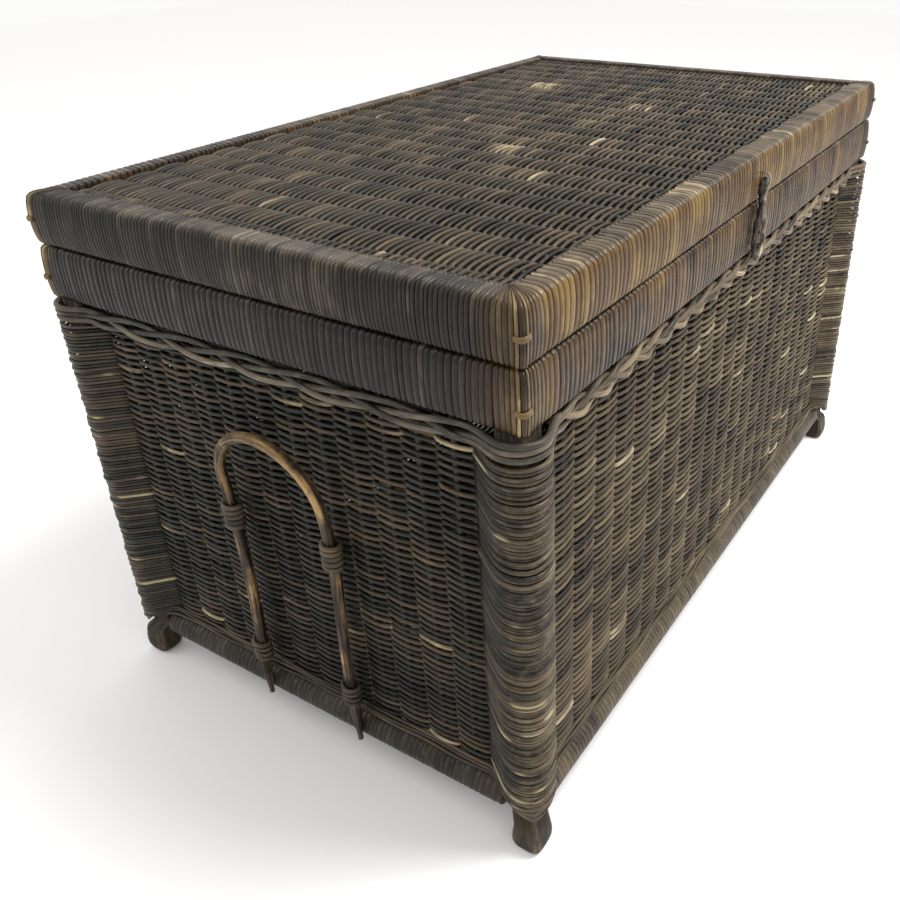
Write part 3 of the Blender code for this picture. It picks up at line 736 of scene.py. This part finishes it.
def bound_frame(prefix, body, section, worn, sun_of, brown):
    """Four bound rails. brown is how far along each end rail, from
    its front corner, the cane has kept its glossy brown."""
    for side, (run, out, _) in RAILS.items():
        low, high = (Vector(v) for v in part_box(f"{prefix}_rail_{side}"))
        middle, half = (low + high) / 2, (high - low) / 2
        run, out = Vector(run), Vector(out)
        reach = half.dot(Vector([abs(v) for v in run]))
        inner = half.dot(Vector([abs(v) for v in out]))
        start = middle - run * reach - out * inner
        start.z = low.z
        width = BAND[prefix][side in ("left", "right")]
        edges, grooves = turns_of_cane(2 * reach, width)
        count = len(edges) - 1
        # front rails are painted a little lighter still, as the lit side
        middling = {"lid": 0.36, "rim": 0.24}[prefix] + (0.11 if side == "front" else 0)
        tone = batches(count, middling, 0.07, own=0.08).clip(0.18)
        sun = np.full(count, sun_of[side])
        where = edges[:-1]
        if side in ("left", "right"):
            near = 2 * reach - where if side == "left" else where
            kept = np.exp(-((near / brown) ** 4))
            tone = tone + 0.1 * kept
            sun = sun + (0.28 - sun) * kept
        bar = binding(
            section, start, run, out, (0, 0, 1), edges, grooves, tone.clip(0, 1), sun,
            worn=worn * (1.0 if side == "front" else 0.3), slant=width * 0.5, top_sheen=1.0,
        )
        make(f"{prefix}_band_{side}", [bar], bound_cane, body, "wrapped_cane", f"{prefix}_rail_{side}")


def frame_corners(prefix, body, section, worn, tie_at):
    """The folded cane over each corner of a bound frame. tie_at is the height of the tie."""
    for corner, (sx, sy, _, _) in CORNERS.items():
        low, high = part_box(f"{prefix}_corner_{corner}")
        inner = Vector((low.x if sx > 0 else high.x, low.y if sy > 0 else high.y, low.z))
        size, turn_in = (high.x - low.x), 0.0045
        # strips: plain ones, then the pale, dark and pale uprights at the arris
        widths = np.array([4.6, 4.2, 4.2, 4.2, 3.2, 4.2, 3.2, 4.2, 4.2, 4.2, 4.6])
        edge = np.concatenate([[0], np.cumsum(widths)]) / widths.sum()
        # distance walked along the outer face, turned into an angle and a reach
        girth = 2 * (size - turn_in) + turn_in * math.pi / 2

        def reach_at(share):
            s = share * girth
            straight = size - turn_in
            turn = ((s - straight) / turn_in).clip(0, math.pi / 2)
            a = np.where(s < straight, s, straight + turn_in * np.sin(turn))
            a = np.minimum(a, size)
            b = straight + turn_in * np.cos(turn) - (s - straight - turn_in * math.pi / 2).clip(0, None)
            b = np.where(s < straight, size, b)
            return a, b

        normal = outward_of(section)
        lift = np.zeros(len(widths))
        lift[4:7] = (0.0005, 0.0007, 0.0005)
        grooves = np.full(len(edge), 0.001)
        grooves[4:8] = (0.0016, 0.0014, 0.0014, 0.0016)
        share = edge[:-1, None] * (1 - CROWN) + edge[1:, None] * CROWN
        a, b = reach_at(share)
        dip = grooves[:-1, None] * (1 - CROWN) + grooves[1:, None] * CROWN
        dip = dip * CROWN_DIP - lift[:, None]
        o = section[:, 0][None, :, None] - normal[:, 0][None, :, None] * dip[:, None]
        z = section[:, 1][None, :, None] - normal[:, 1][None, :, None] * dip[:, None]
        scale = o / size
        points = xyz(
            inner.x + sx * scale * a[:, None, :], inner.y + sy * scale * b[:, None, :], inner.z + z
        )
        near = corner == "front_left"  # this corner has kept its glossy brown, the rest are sooty
        tone = (0.4 if near else 0.3) + 0.08 * chance.standard_normal(len(widths))
        tone[4:7] = (0.76, 0.22, 0.8)
        sun = np.full(len(widths), 0.42 if near else 0.12)
        sun[4:7] = 0.5
        # strips are painted darker toward their edges, a painted shade in the grooves between strips
        fold = bundle(
            points, tone[:, None, None] - 0.2 * CROWN_DIP**2, sun[:, None, None],
            worn[None, :, None] * (1 - CROWN_DIP)[None, None],
            close_steps=True, close_across=False,
        )
        # the tie across the three uprights
        share = np.linspace(edge[4] - 0.008, edge[7] + 0.008, 15)
        a, b = reach_at(share)
        tie_out = (section[:, 0].max() + 0.0012 * np.sin(np.linspace(0, math.pi, 15)) ** 0.5) / size
        tie = xyz(
            inner.x + sx * a * tie_out,
            inner.y + sy * b * tie_out,
            inner.z + section[:, 1].max() * tie_at + 0.0004 * np.sin(share * 20),
        )
        facing = tie - np.array([inner.x, inner.y, 0])
        facing[:, 2] = 0
        facing /= np.linalg.norm(facing, axis=1)[:, None]
        tie = strands(
            tie[None], 0.0023, facing[None], flat=0.62, sides=10, tone=0.76, faded_and_lit=0.55, worn=0.1
        )
        make(
            f"{prefix}_fold_{corner}", [fold, tie], bound_cane, body, "wrapped_cane",
            f"{prefix}_corner_{corner}",
        )


rim_low, rim_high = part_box("rim_rail_front")
BORDER = (rim_high.y - rim_low.y) * 1000
rim_section = band_section(BORDER, (rim_high.z - rim_low.z) * 1000, 6.0, 2.0)
rim_suns = {"front": 0.86, "right": 0.4, "back": 0.4, "left": 0.0}
bound_frame("rim", "trunk", rim_section, arris_wear(rim_section, 0.4), rim_suns, 0.03)
frame_corners("rim", "trunk", rim_section, arris_wear(rim_section, 0.3), 0.4)

# ---------------------------------------------------------------------------------------------
# Braid: three canes plaited round the basket under the rim. The plait is short and tight along
# the long sides and drawn out on the ends, and the canes lie side by side round the corners.
# ---------------------------------------------------------------------------------------------
braid_cane = aged_finish(
    "braid cane",
    ("#141210", "#37332c", "#655c4d", "#a89c80"),
    ("#211a13", "#5d5040", "#86755d", "#c6b898"),
    "#938469",
    length=0.018, width=0.0009, contrast=0.26, gloss=(0.36, 0.58), depth=0.00008,
    cracks=0.3,
)
braid_low, braid_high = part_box("braided_border")
rim_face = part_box("rim_rail_left")[0].x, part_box("rim_rail_front")[0].y
BRAID_CANE = 0.0026
lane = -np.array(rim_face) - 0.0053  # the plait's line along the sides, just inside the rim's face
turn_radius = -braid_low.x - post.x - 0.0030  # and round the outside of the posts
level = (braid_low.z + braid_high.z) / 2 - 0.0003
LEAVE = 0.027  # how far short of each post the plait opens out into three level canes
PITCH = 0.0022
LEAD, ROUND = 7, 26  # points on the way to a corner, and round it
spot, walk, swell, phase, side_sun = [], [], [], [], []
phase_now = 0.0
for side, (run, out, _) in RAILS.items():
    run, out = np.array(run[:2], float), np.array(out[:2], float)
    half, away = abs(run @ post) - LEAVE, abs(out @ lane)
    along = np.linspace(-half, half, int(2 * half / PITCH), endpoint=False)
    periods = 7 if side in ("front", "back") else 2
    spot.extend(run * s + out * away for s in along)
    swell.extend(np.clip((half - abs(along)) / 0.02, 0, 1) ** 1.2)
    phase.extend(phase_now + periods * math.tau * (along + half) / (2 * half))
    phase_now += periods * math.tau
    walk.extend(out for _ in along)
    side_sun.extend(WALLS[side][2] for _ in along)
    rise = away - abs(out @ post)
    first = math.atan2(-LEAVE, rise) + math.acos(turn_radius / math.hypot(LEAVE, rise))
    centre = run * abs(run @ post) + out * abs(out @ post)
    lead = np.linspace(0, 1, LEAD + 1)[:-1, None]
    angles = np.linspace(first, math.pi / 2 - first, ROUND)
    facings = [out * math.cos(t) + run * math.sin(t) for t in angles]
    ring = centre + turn_radius * np.array(facings)
    leaving, next_lane = run * half + out * away, centre + run * rise - out * LEAVE
    spot.extend(leaving + (ring[0] - leaving) * lead)
    spot.extend(ring)
    spot.extend(ring[-1] + (next_lane - ring[-1]) * (lead + 1 / LEAD)[:-1])
    walk.extend([facings[0]] * LEAD + facings + [facings[-1]] * (LEAD - 1))
    passing = 2 * LEAD - 1 + ROUND
    swell.extend([0.0] * passing)
    phase.extend([phase_now] * passing)
    side_sun.extend([WALLS[side][2]] * passing)
spot, walk, swell, phase = (np.array(v) for v in (spot, walk, swell, phase))


def eased_round(values, width):
    """A running mean along the closed plait."""
    return sum(np.roll(values, k, axis=0) for k in range(-width, width + 1)) / (2 * width + 1)


spot, walk, side_sun = eased_round(spot, 2), eased_round(walk, 2), eased_round(np.array(side_sun), 12)
walk /= np.linalg.norm(walk, axis=1)[:, None]
height, depth = [], []
for cane in range(3):
    turn = phase + cane * math.tau / 3
    height.append(0.0069 * np.sin(turn) * (0.88 + 0.12 * swell) + 0.0012 * (1 - swell))
    depth.append(swell * 0.0022 * np.sin(2 * turn) + 0.0003 * np.sin(turn * 3 + cane))
height, depth = np.array(height), np.array(depth)
height += 0.0004 * np.sin(np.arange(len(spot)) * 0.11 + np.arange(3)[:, None] * 2)
path = np.concatenate(
    [spot[None] + walk[None] * depth[..., None], (level + height)[..., None]], axis=-1
)
outward = np.concatenate([walk, np.zeros((len(walk), 1))], axis=1)
tone = 0.42 + 0.16 * np.sin(np.arange(len(spot)) * 0.037 + np.array([[0.0], [2.1], [4.2]]))
tone += 0.12 * np.sin(np.arange(len(spot)) * 0.13 + np.array([[1.0], [0.3], [3.2]]))
# canes are painted darker toward the top of the plait, a painted shade under the rim
tone -= 0.16 * height / 0.0069
braid = strands(
    path, BRAID_CANE, outward[None], sides=10, tone=tone, faded_and_lit=side_sun[None], worn=0.35, close=True
)
make("braid", [braid], braid_cane, "trunk", "dark_cane", "braided_border")

# ---------------------------------------------------------------------------------------------
# Carrying handles: on each end one stout cane bent into a long hoop, with its legs down the
# wall and over the rail. Thin cane lashes each leg to the weave in two places.
# ---------------------------------------------------------------------------------------------
handle_cane = aged_finish(
    "handle cane",
    ("#14100c", "#352a1f", "#6a5335", "#ab8853"),
    ("#20180f", "#4b3b29", "#79623e", "#b0905d"),
    "#8f7146",
    length=0.06, width=0.0030, contrast=0.95, gloss=(0.36, 0.6), depth=0.00025,
    patch=0.035, patch_tone=0.5, fleck_share=0.1,
)
lashing_cane = aged_finish(
    "lashing cane",
    ("#14120f", "#3a352d", "#635441", "#b29d76"),
    ("#221c15", "#554b3c", "#827158", "#c4b38e"),
    "#7b6c55",
    length=0.012, width=0.0006, contrast=0.5, gloss=(0.42, 0.66), depth=0.00016,
)
rod = 0.0055  # half the thickness of the hoop's cane
LASHINGS = (("upper", 4, 0.0024, 0.0), ("lower", 3, 0.0021, 0.0011))  # turns, thickness, rocking
for side, sx in (("left", -1), ("right", 1)):
    low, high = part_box(f"carrying_handle_{side}")
    low_l, high_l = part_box(f"handle_lashing_{side}_lower_a")
    leg_y = (high.y - low.y) / 2 - rod
    foot_x = abs(low_l.x + high_l.x) / 2
    top_x = max(abs(low.x), abs(high.x)) - rod
    arch = high.z - rod - leg_y
    down = np.linspace(low.z + 0.001, arch, 40)
    sweep = np.linspace(0, math.pi, 33)[1:-1]
    y = np.concatenate([np.full(40, -leg_y), -leg_y * np.cos(sweep), np.full(40, leg_y)])
    z = np.concatenate([down, arch + leg_y * np.sin(sweep), down[::-1]])
    lean = np.clip((z - 0.245) / (high.z - 0.245), 0, 1) ** 1.6
    x = foot_x + (top_x - foot_x) * lean
    y = y + 0.0016 * np.sin(z * 27 + np.sign(y) + sx)
    path = xyz(sx * x, y, z)
    tips = np.clip((z - low.z) / 0.035, 0.25, 1) ** 0.5
    knots = 1 + 0.05 * np.exp(-(((z - 0.19) / 0.006) ** 2)) + 0.02 * np.sin(z * 130 + y * 40)
    tone = 0.3 + 0.2 * np.clip((z - 0.28) / 0.06, 0, 1) + 0.1 * np.sin(z * 31 + y * 30)
    hoop = strands(
        path[None], (rod * 0.92 * tips * knots)[None], (sx, 0, 0.02), sides=16, tone=tone[None],
        faded_and_lit=0.25, worn=np.clip((z - 0.27) / 0.05, 0.15, 0.6)[None],
    )
    make(f"handle_{side}", [hoop], handle_cane, "trunk", "handle_cane", f"carrying_handle_{side}")
    for leg in "ab":
        for place, turns, wrap, rock in LASHINGS:
            node = f"handle_lashing_{side}_{place}_{leg}"
            low_l, high_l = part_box(node)
            centre = (low_l + high_l) / 2
            angle = np.linspace(-0.75 * math.pi, turns * math.tau + 0.75 * math.pi, turns * 20 + 16)
            rise = (angle - angle[0]) / (angle[-1] - angle[0])
            span = (high_l.z - low_l.z) / 2 - wrap
            height = centre.z - span + 2 * span * rise + rock * np.sin(angle)
            reach = rod + wrap * 0.9 + 0.0002 * np.sin(angle * 0.37)
            other_leg = np.sign(path[:, 1]) != np.sign(centre.y)
            heart_x, heart_y, _ = path[(np.abs(path[:, 2] - centre.z) + 9 * other_leg).argmin()]
            coil = xyz(heart_x + sx * reach * np.cos(angle), heart_y + reach * np.sin(angle), height)
            facing = coil - xyz(heart_x, heart_y, height)
            facing /= np.linalg.norm(facing, axis=1)[:, None]
            lash = strands(
                coil[None], wrap, facing[None], flat=0.85, sides=8,
                tone=0.42 + 0.1 * np.sin(angle * 0.8)[None], faded_and_lit=0.15, worn=0.3,
            )
            make(node.replace("handle_", ""), [lash], lashing_cane, "trunk", "wrapped_cane", node)

# ---------------------------------------------------------------------------------------------
# Lid: a bound frame like the rim but taller and rounder on top, filled with a woven panel on
# two flat battens. The panel's stakes run the short way and its rows run the long way.
# ---------------------------------------------------------------------------------------------
lid_low, lid_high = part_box("lid_rail_front")
lid_section = band_section(BORDER, (lid_high.z - lid_low.z) * 1000, 8.0, 2.6)
lid_suns = {"front": 0.95, "right": 0.4, "back": 0.4, "left": 0.0}
bound_frame("lid", "lid", lid_section, arris_wear(lid_section, 0.55), lid_suns, 0.012)
frame_corners("lid", "lid", lid_section, arris_wear(lid_section, 0.3), 0.5)

panel_low, panel_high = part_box("lid_panel")
stakes = 24  # the outer two close against the frame, so their strokes are short
rows = int((panel_high.y - panel_low.y - 0.002) / ROW)
widths = np.r_[0.5, np.ones(stakes - 2), 0.5]
edges = panel_low.x + np.r_[0, np.cumsum(widths)] * (panel_high.x - panel_low.x) / widths.sum()
along, out, stake = over_and_under(edges, rows, 10)
across = panel_low.y + 0.001 + ROW * (np.arange(rows) + 0.5)
level = (panel_low.z + panel_high.z) / 2
swing = (panel_high.z - panel_low.z) / 2 - 0.0023
bow = 0.0005 * np.sin(along * 13)[None] * np.sin(across * 21)[:, None]
knock = 0.0003 * chance.standard_normal((rows, stakes))[:, stake] * np.abs(out)
path = xyz(along, across[:, None] + knock + bow, level + swing * out)
tones = row_tones(rows, stakes, 0.38, 0.01)
for x, y in ((-0.142, 0.135), (-0.118, -0.041), (-0.08, -0.02), (0.16, -0.05), (0.21, 0.12)):
    n, k = np.abs(across - y).argmin(), np.searchsorted(edges, x) - 1
    tones[n - 4 : n + 5 : 2, k] = 0.7 + 0.15 * chance.random(5)  # bare strokes, their skin gone
    tones[n - 1 : n + 2 : 2, k + 1] = 0.66
sun = 0.4 + 0.15 * np.clip(-across / panel_high.y, 0, 1)[:, None]
thick = 0.0019 * (1 + 0.06 * chance.standard_normal((rows, 1))) * (1 + 0.55 * np.clip(-out, 0, 1))
bars = (edges[:-1] + edges[1:]) / 2
ends = np.linspace(panel_low.y + 0.001, panel_high.y - 0.001, 12)
for name, take in (("front", slice(0, rows // 2)), ("back", slice(rows // 2, rows))):
    weave = strands(
        path[take], thick[take], (0, 0, 1), tone=tones[take][:, stake], faded_and_lit=sun[take]
    )
    half_ends = ends[:7] if name == "front" else ends[5:]
    sticks = xyz(bars[:, None], half_ends[None], level)
    sticks = strands(sticks, 0.0024, (0, 0, 1), sides=8, tone=0.22)
    make(f"lid_weave_{name}", [weave, sticks], woven_cane, "lid", "dark_cane", "lid_panel")
BATTEN_SHAPE = (  # out and up, as shares of its half width and half thickness
    (-1.0, -0.6), (-0.8, -1.0), (0.8, -1.0), (1.0, -0.6),
    (1.0, 0.7), (0.85, 1.0), (-0.85, 1.0), (-1.0, 0.7),
)
for side in ("left", "right"):
    low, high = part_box(f"lid_batten_{side}")
    middle, half = (low + high) / 2, (high - low) / 2
    loop = smooth_loop(np.array(BATTEN_SHAPE) * (half.x, half.z), 3)
    y = np.linspace(low.y + 0.0002, high.y - 0.0002, 40)
    points = xyz(
        middle.x + loop[None, :, 0] * (0.985 + 0.012 * np.sin(y * 29))[:, None],
        y[:, None],
        middle.z + loop[None, :, 1],
    )
    rubbed = 0.5 * (np.abs(loop[:, 0]) > half.x * 0.7)
    make(
        f"batten_{side}", [bundle(points[None], tone=0.6, worn=rubbed[None, None])],
        foot_wood, "lid", "dark_wood", f"lid_batten_{side}",
    )

# ---------------------------------------------------------------------------------------------
# Hinges: loops of twisted cane at the back. Two loops come off the rim and one off the lid,
# all round one short cane pin, and their tails are stitched down the bound rails.
# ---------------------------------------------------------------------------------------------
def side_by_side(node, body, way, thin, material, name, tone=0.4, sun=0.3):
    """Canes laid side by side across a node, all following way, a path of (y, z) points."""
    low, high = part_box(node)
    count = max(2, round((high.x - low.x) / (2 * thin)))
    spots = low.x + (high.x - low.x) * (np.arange(count) + 0.5) / count
    y, z = way[:, 0], way[:, 1]
    path = xyz(spots[:, None], y[None], z[None])
    slope = np.gradient(way, axis=0)
    facing = xyz(0.0, slope[:, 1], -slope[:, 0])
    facing /= np.linalg.norm(facing, axis=1)[:, None].clip(1e-9)
    tones = tone + 0.1 * chance.standard_normal((count, 1))
    canes = strands(
        path, (high.x - low.x) / count / 2 * 0.98, facing[None], flat=0.6, sides=8, tone=tones,
        faded_and_lit=sun, worn=0.3,
    )
    return make(name, [canes], material, body, "dark_cane", node)


for side in ("left", "right"):
    low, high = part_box(f"hinge_pin_{side}")
    middle, radius = (low + high) / 2, (high.z - low.z) / 2
    x = np.linspace(low.x + 0.0005, high.x - 0.0005, 16)
    round_end = np.clip(np.minimum(x - low.x, high.x - x) / 0.002, 0.4, 1) ** 0.5
    pin = strands(
        xyz(x, middle.y, middle.z)[None], (radius * 0.97 * round_end)[None], (0, 0, 1), sides=12,
        tone=0.7, faded_and_lit=0.4,
    )
    make(f"pin_{side}", [pin], handle_cane, "trunk", "handle_cane", f"hinge_pin_{side}")
    for node, body, up in (
        (f"hinge_rim_loop_{side}_inner", "trunk", 1),
        (f"hinge_rim_loop_{side}_outer", "trunk", 1),
        (f"hinge_lid_loop_{side}", "lid", -1),
    ):
        low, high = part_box(node)
        reach = high.y - middle.y - 0.001
        tail = low.z if up > 0 else high.z
        turn = np.radians(np.linspace(180, -105, 24))
        way = np.concatenate(
            [
                np.stack([np.full(8, middle.y - reach), np.linspace(tail, middle.z, 8, endpoint=False)], -1),
                np.stack([middle.y + reach * np.cos(turn), middle.z + up * reach * np.sin(turn)], -1),
            ]
        )
        side_by_side(node, body, way, 0.00165, lashing_cane, node.replace("hinge_", "knuckle_"))

# ---------------------------------------------------------------------------------------------
# Hasp: a long loop of thin twisted cane that hangs from a staple on the lid and drops over a
# staple on the rim. Its right side is painted pale, as lit, and its left nearly black, as a
# painted shadow.
# ---------------------------------------------------------------------------------------------
hasp_cane = aged_finish(
    "hasp cane",
    ("#12100e", "#2c2822", "#6c6252", "#b9b09b"),
    ("#1a1612", "#4e463a", "#8b8374", "#c6bfae"),
    "#8f8674",
    length=0.01, width=0.0005, contrast=0.5, gloss=(0.42, 0.66), depth=0.00016,
)
bulge_out = 0.0034  # how far a staple's bow stands out
for end, body, name in (("lid", "lid", "hasp_ring_lid"), ("rim", "trunk", "hasp_ring_rim")):
    node = f"hasp_staple_{end}"
    low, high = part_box(node)
    centre, half = (low + high) / 2, (high - low) / 2
    turn = np.radians(np.linspace(-90, 90, 13))
    outer, rise = low.y + 0.0012, half.z - 0.0012
    arc_y = outer + bulge_out - bulge_out * np.cos(turn)
    arc_z = centre.z + rise * np.sin(turn)
    bow = np.stack([arc_y, arc_z], -1)
    way = np.concatenate([[[high.y, centre.z - rise]], bow, [[high.y, centre.z + rise]]])
    side_by_side(node, body, way, 0.0013, hasp_cane, name, tone=0.7 if end == "lid" else 0.3, sun=0.7)
low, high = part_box("hasp_loop")
centre_y = (low.y + high.y) / 2
strand = 0.0022  # from the loop's edge to the middle of its twisted strand
wide = (high.x - low.x) / 2 - strand
tall = high.z - low.z - 2 * strand
HASP_SHAPE = (  # half width and drop, both as shares, down from the top strand
    (0.0, 0.0), (0.45, 0.028), (0.62, 0.108), (0.48, 0.204), (0.25, 0.287), (0.24, 0.35),
    (0.51, 0.44), (0.86, 0.55), (1.0, 0.69), (0.94, 0.834), (0.62, 0.955), (0.0, 1.0),
)
half = np.array(HASP_SHAPE)
keys = np.concatenate([half, half[-2:0:-1] * (-1, 1)])
line = smooth_loop(keys * (wide, -tall), 8)
line[:, 1] += high.z - strand
turn = np.arange(len(line)) / len(line) * math.tau
tangent = np.roll(line, -1, axis=0) - np.roll(line, 1, axis=0)
tangent /= np.linalg.norm(tangent, axis=1)[:, None]
TWISTS, OFFSET = 7, 0.0010  # turns in the loop, and each cane's distance from its middle
twists = []
for k in range(2):
    spin = turn * TWISTS + k * math.pi
    twists.append(
        xyz(
            line[:, 0] + tangent[:, 1] * OFFSET * np.cos(spin),
            centre_y + OFFSET * np.sin(spin),
            line[:, 1] - tangent[:, 0] * OFFSET * np.cos(spin),
        )
    )
# pale to the right as painted light, nearly black to the left as a painted shadow
painted_lit_side = np.clip((line[:, 0] / wide) * 2.2 + 0.3, 0, 1)
hasp = strands(
    np.array(twists), 0.0017, (0, -1, 0), sides=8, tone=(0.12 + 0.68 * painted_lit_side)[None], faded_and_lit=0.5,
    close=True,
)
make("hasp", [hasp], hasp_cane, "hasp", "dark_cane", "hasp_loop")

# ---------------------------------------------------------------------------------------------
# Studio: a plain pale floor, a broad soft lamp over the front, a weaker one behind, and a
# camera that looks down on the left end and the long front.
# ---------------------------------------------------------------------------------------------
floor_mesh = bpy.data.meshes.new("studio_floor")
floor_mesh.from_pydata([(-6, -6, 0), (6, -6, 0), (6, 6, 0), (-6, 6, 0)], [], [(0, 1, 2, 3)])
studio_floor = bpy.data.objects.new("studio_floor", floor_mesh)
bpy.context.scene.collection.objects.link(studio_floor)
studio_floor.location.z = cad_low.z
studio_floor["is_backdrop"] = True
paper = bpy.data.materials.new("studio paper")
paper.use_nodes = True
paper_shader = paper.node_tree.nodes["Principled BSDF"]
paper_shader.inputs["Base Color"].default_value = colour("#fcfbfa")
paper_shader.inputs["Roughness"].default_value = 0.9
floor_mesh.materials.append(paper)

world = bpy.data.worlds.new("studio")
bpy.context.scene.world = world
world.use_nodes = True
sky = world.node_tree.nodes["Background"]
sky.inputs["Color"].default_value = colour("#fbfbfa")
sky.inputs["Strength"].default_value = 1.0
bpy.context.scene.view_settings.view_transform = "Standard"

middle = (cad_low + cad_high) / 2
for name, where, size, power in (
    ("key", (0.5, -1.2, 2.3), 1.1, 60.0),
    ("fill", (-1.6, 1.6, 1.7), 1.6, 8.0),
):
    lamp = bpy.data.lights.new(name, "AREA")
    lamp.shape, lamp.size, lamp.energy = "DISK", size, power
    lit = bpy.data.objects.new(name, lamp)
    bpy.context.scene.collection.objects.link(lit)
    lit.location = where
    lit.rotation_euler = (middle - lit.location).to_track_quat("-Z", "Y").to_euler()

LOOK_FROM = Vector((-0.86086, -0.53760, 0.74089))
AZIMUTH, ELEVATION, ROLL = (math.radians(v) for v in (-57.9, 29.8, -1.02))
back = Vector(
    (math.sin(AZIMUTH) * math.cos(ELEVATION), -math.cos(AZIMUTH) * math.cos(ELEVATION), math.sin(ELEVATION))
)
level_right = Vector((math.cos(AZIMUTH), math.sin(AZIMUTH), 0))
level_up = back.cross(level_right)
right = level_right * math.cos(ROLL) + level_up * math.sin(ROLL)
up = level_up * math.cos(ROLL) - level_right * math.sin(ROLL)
lens = bpy.data.cameras.new("camera")
lens.sensor_width, lens.lens = 36.0, 36.93
lens.shift_x, lens.shift_y = -0.0959, -0.0331
lens.clip_start = 0.05
camera = bpy.data.objects.new("camera", lens)
bpy.context.scene.collection.objects.link(camera)
camera.matrix_world = Matrix.Translation(LOOK_FROM) @ Matrix((right, up, back)).transposed().to_4x4()
bpy.context.scene.camera = camera

low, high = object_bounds()
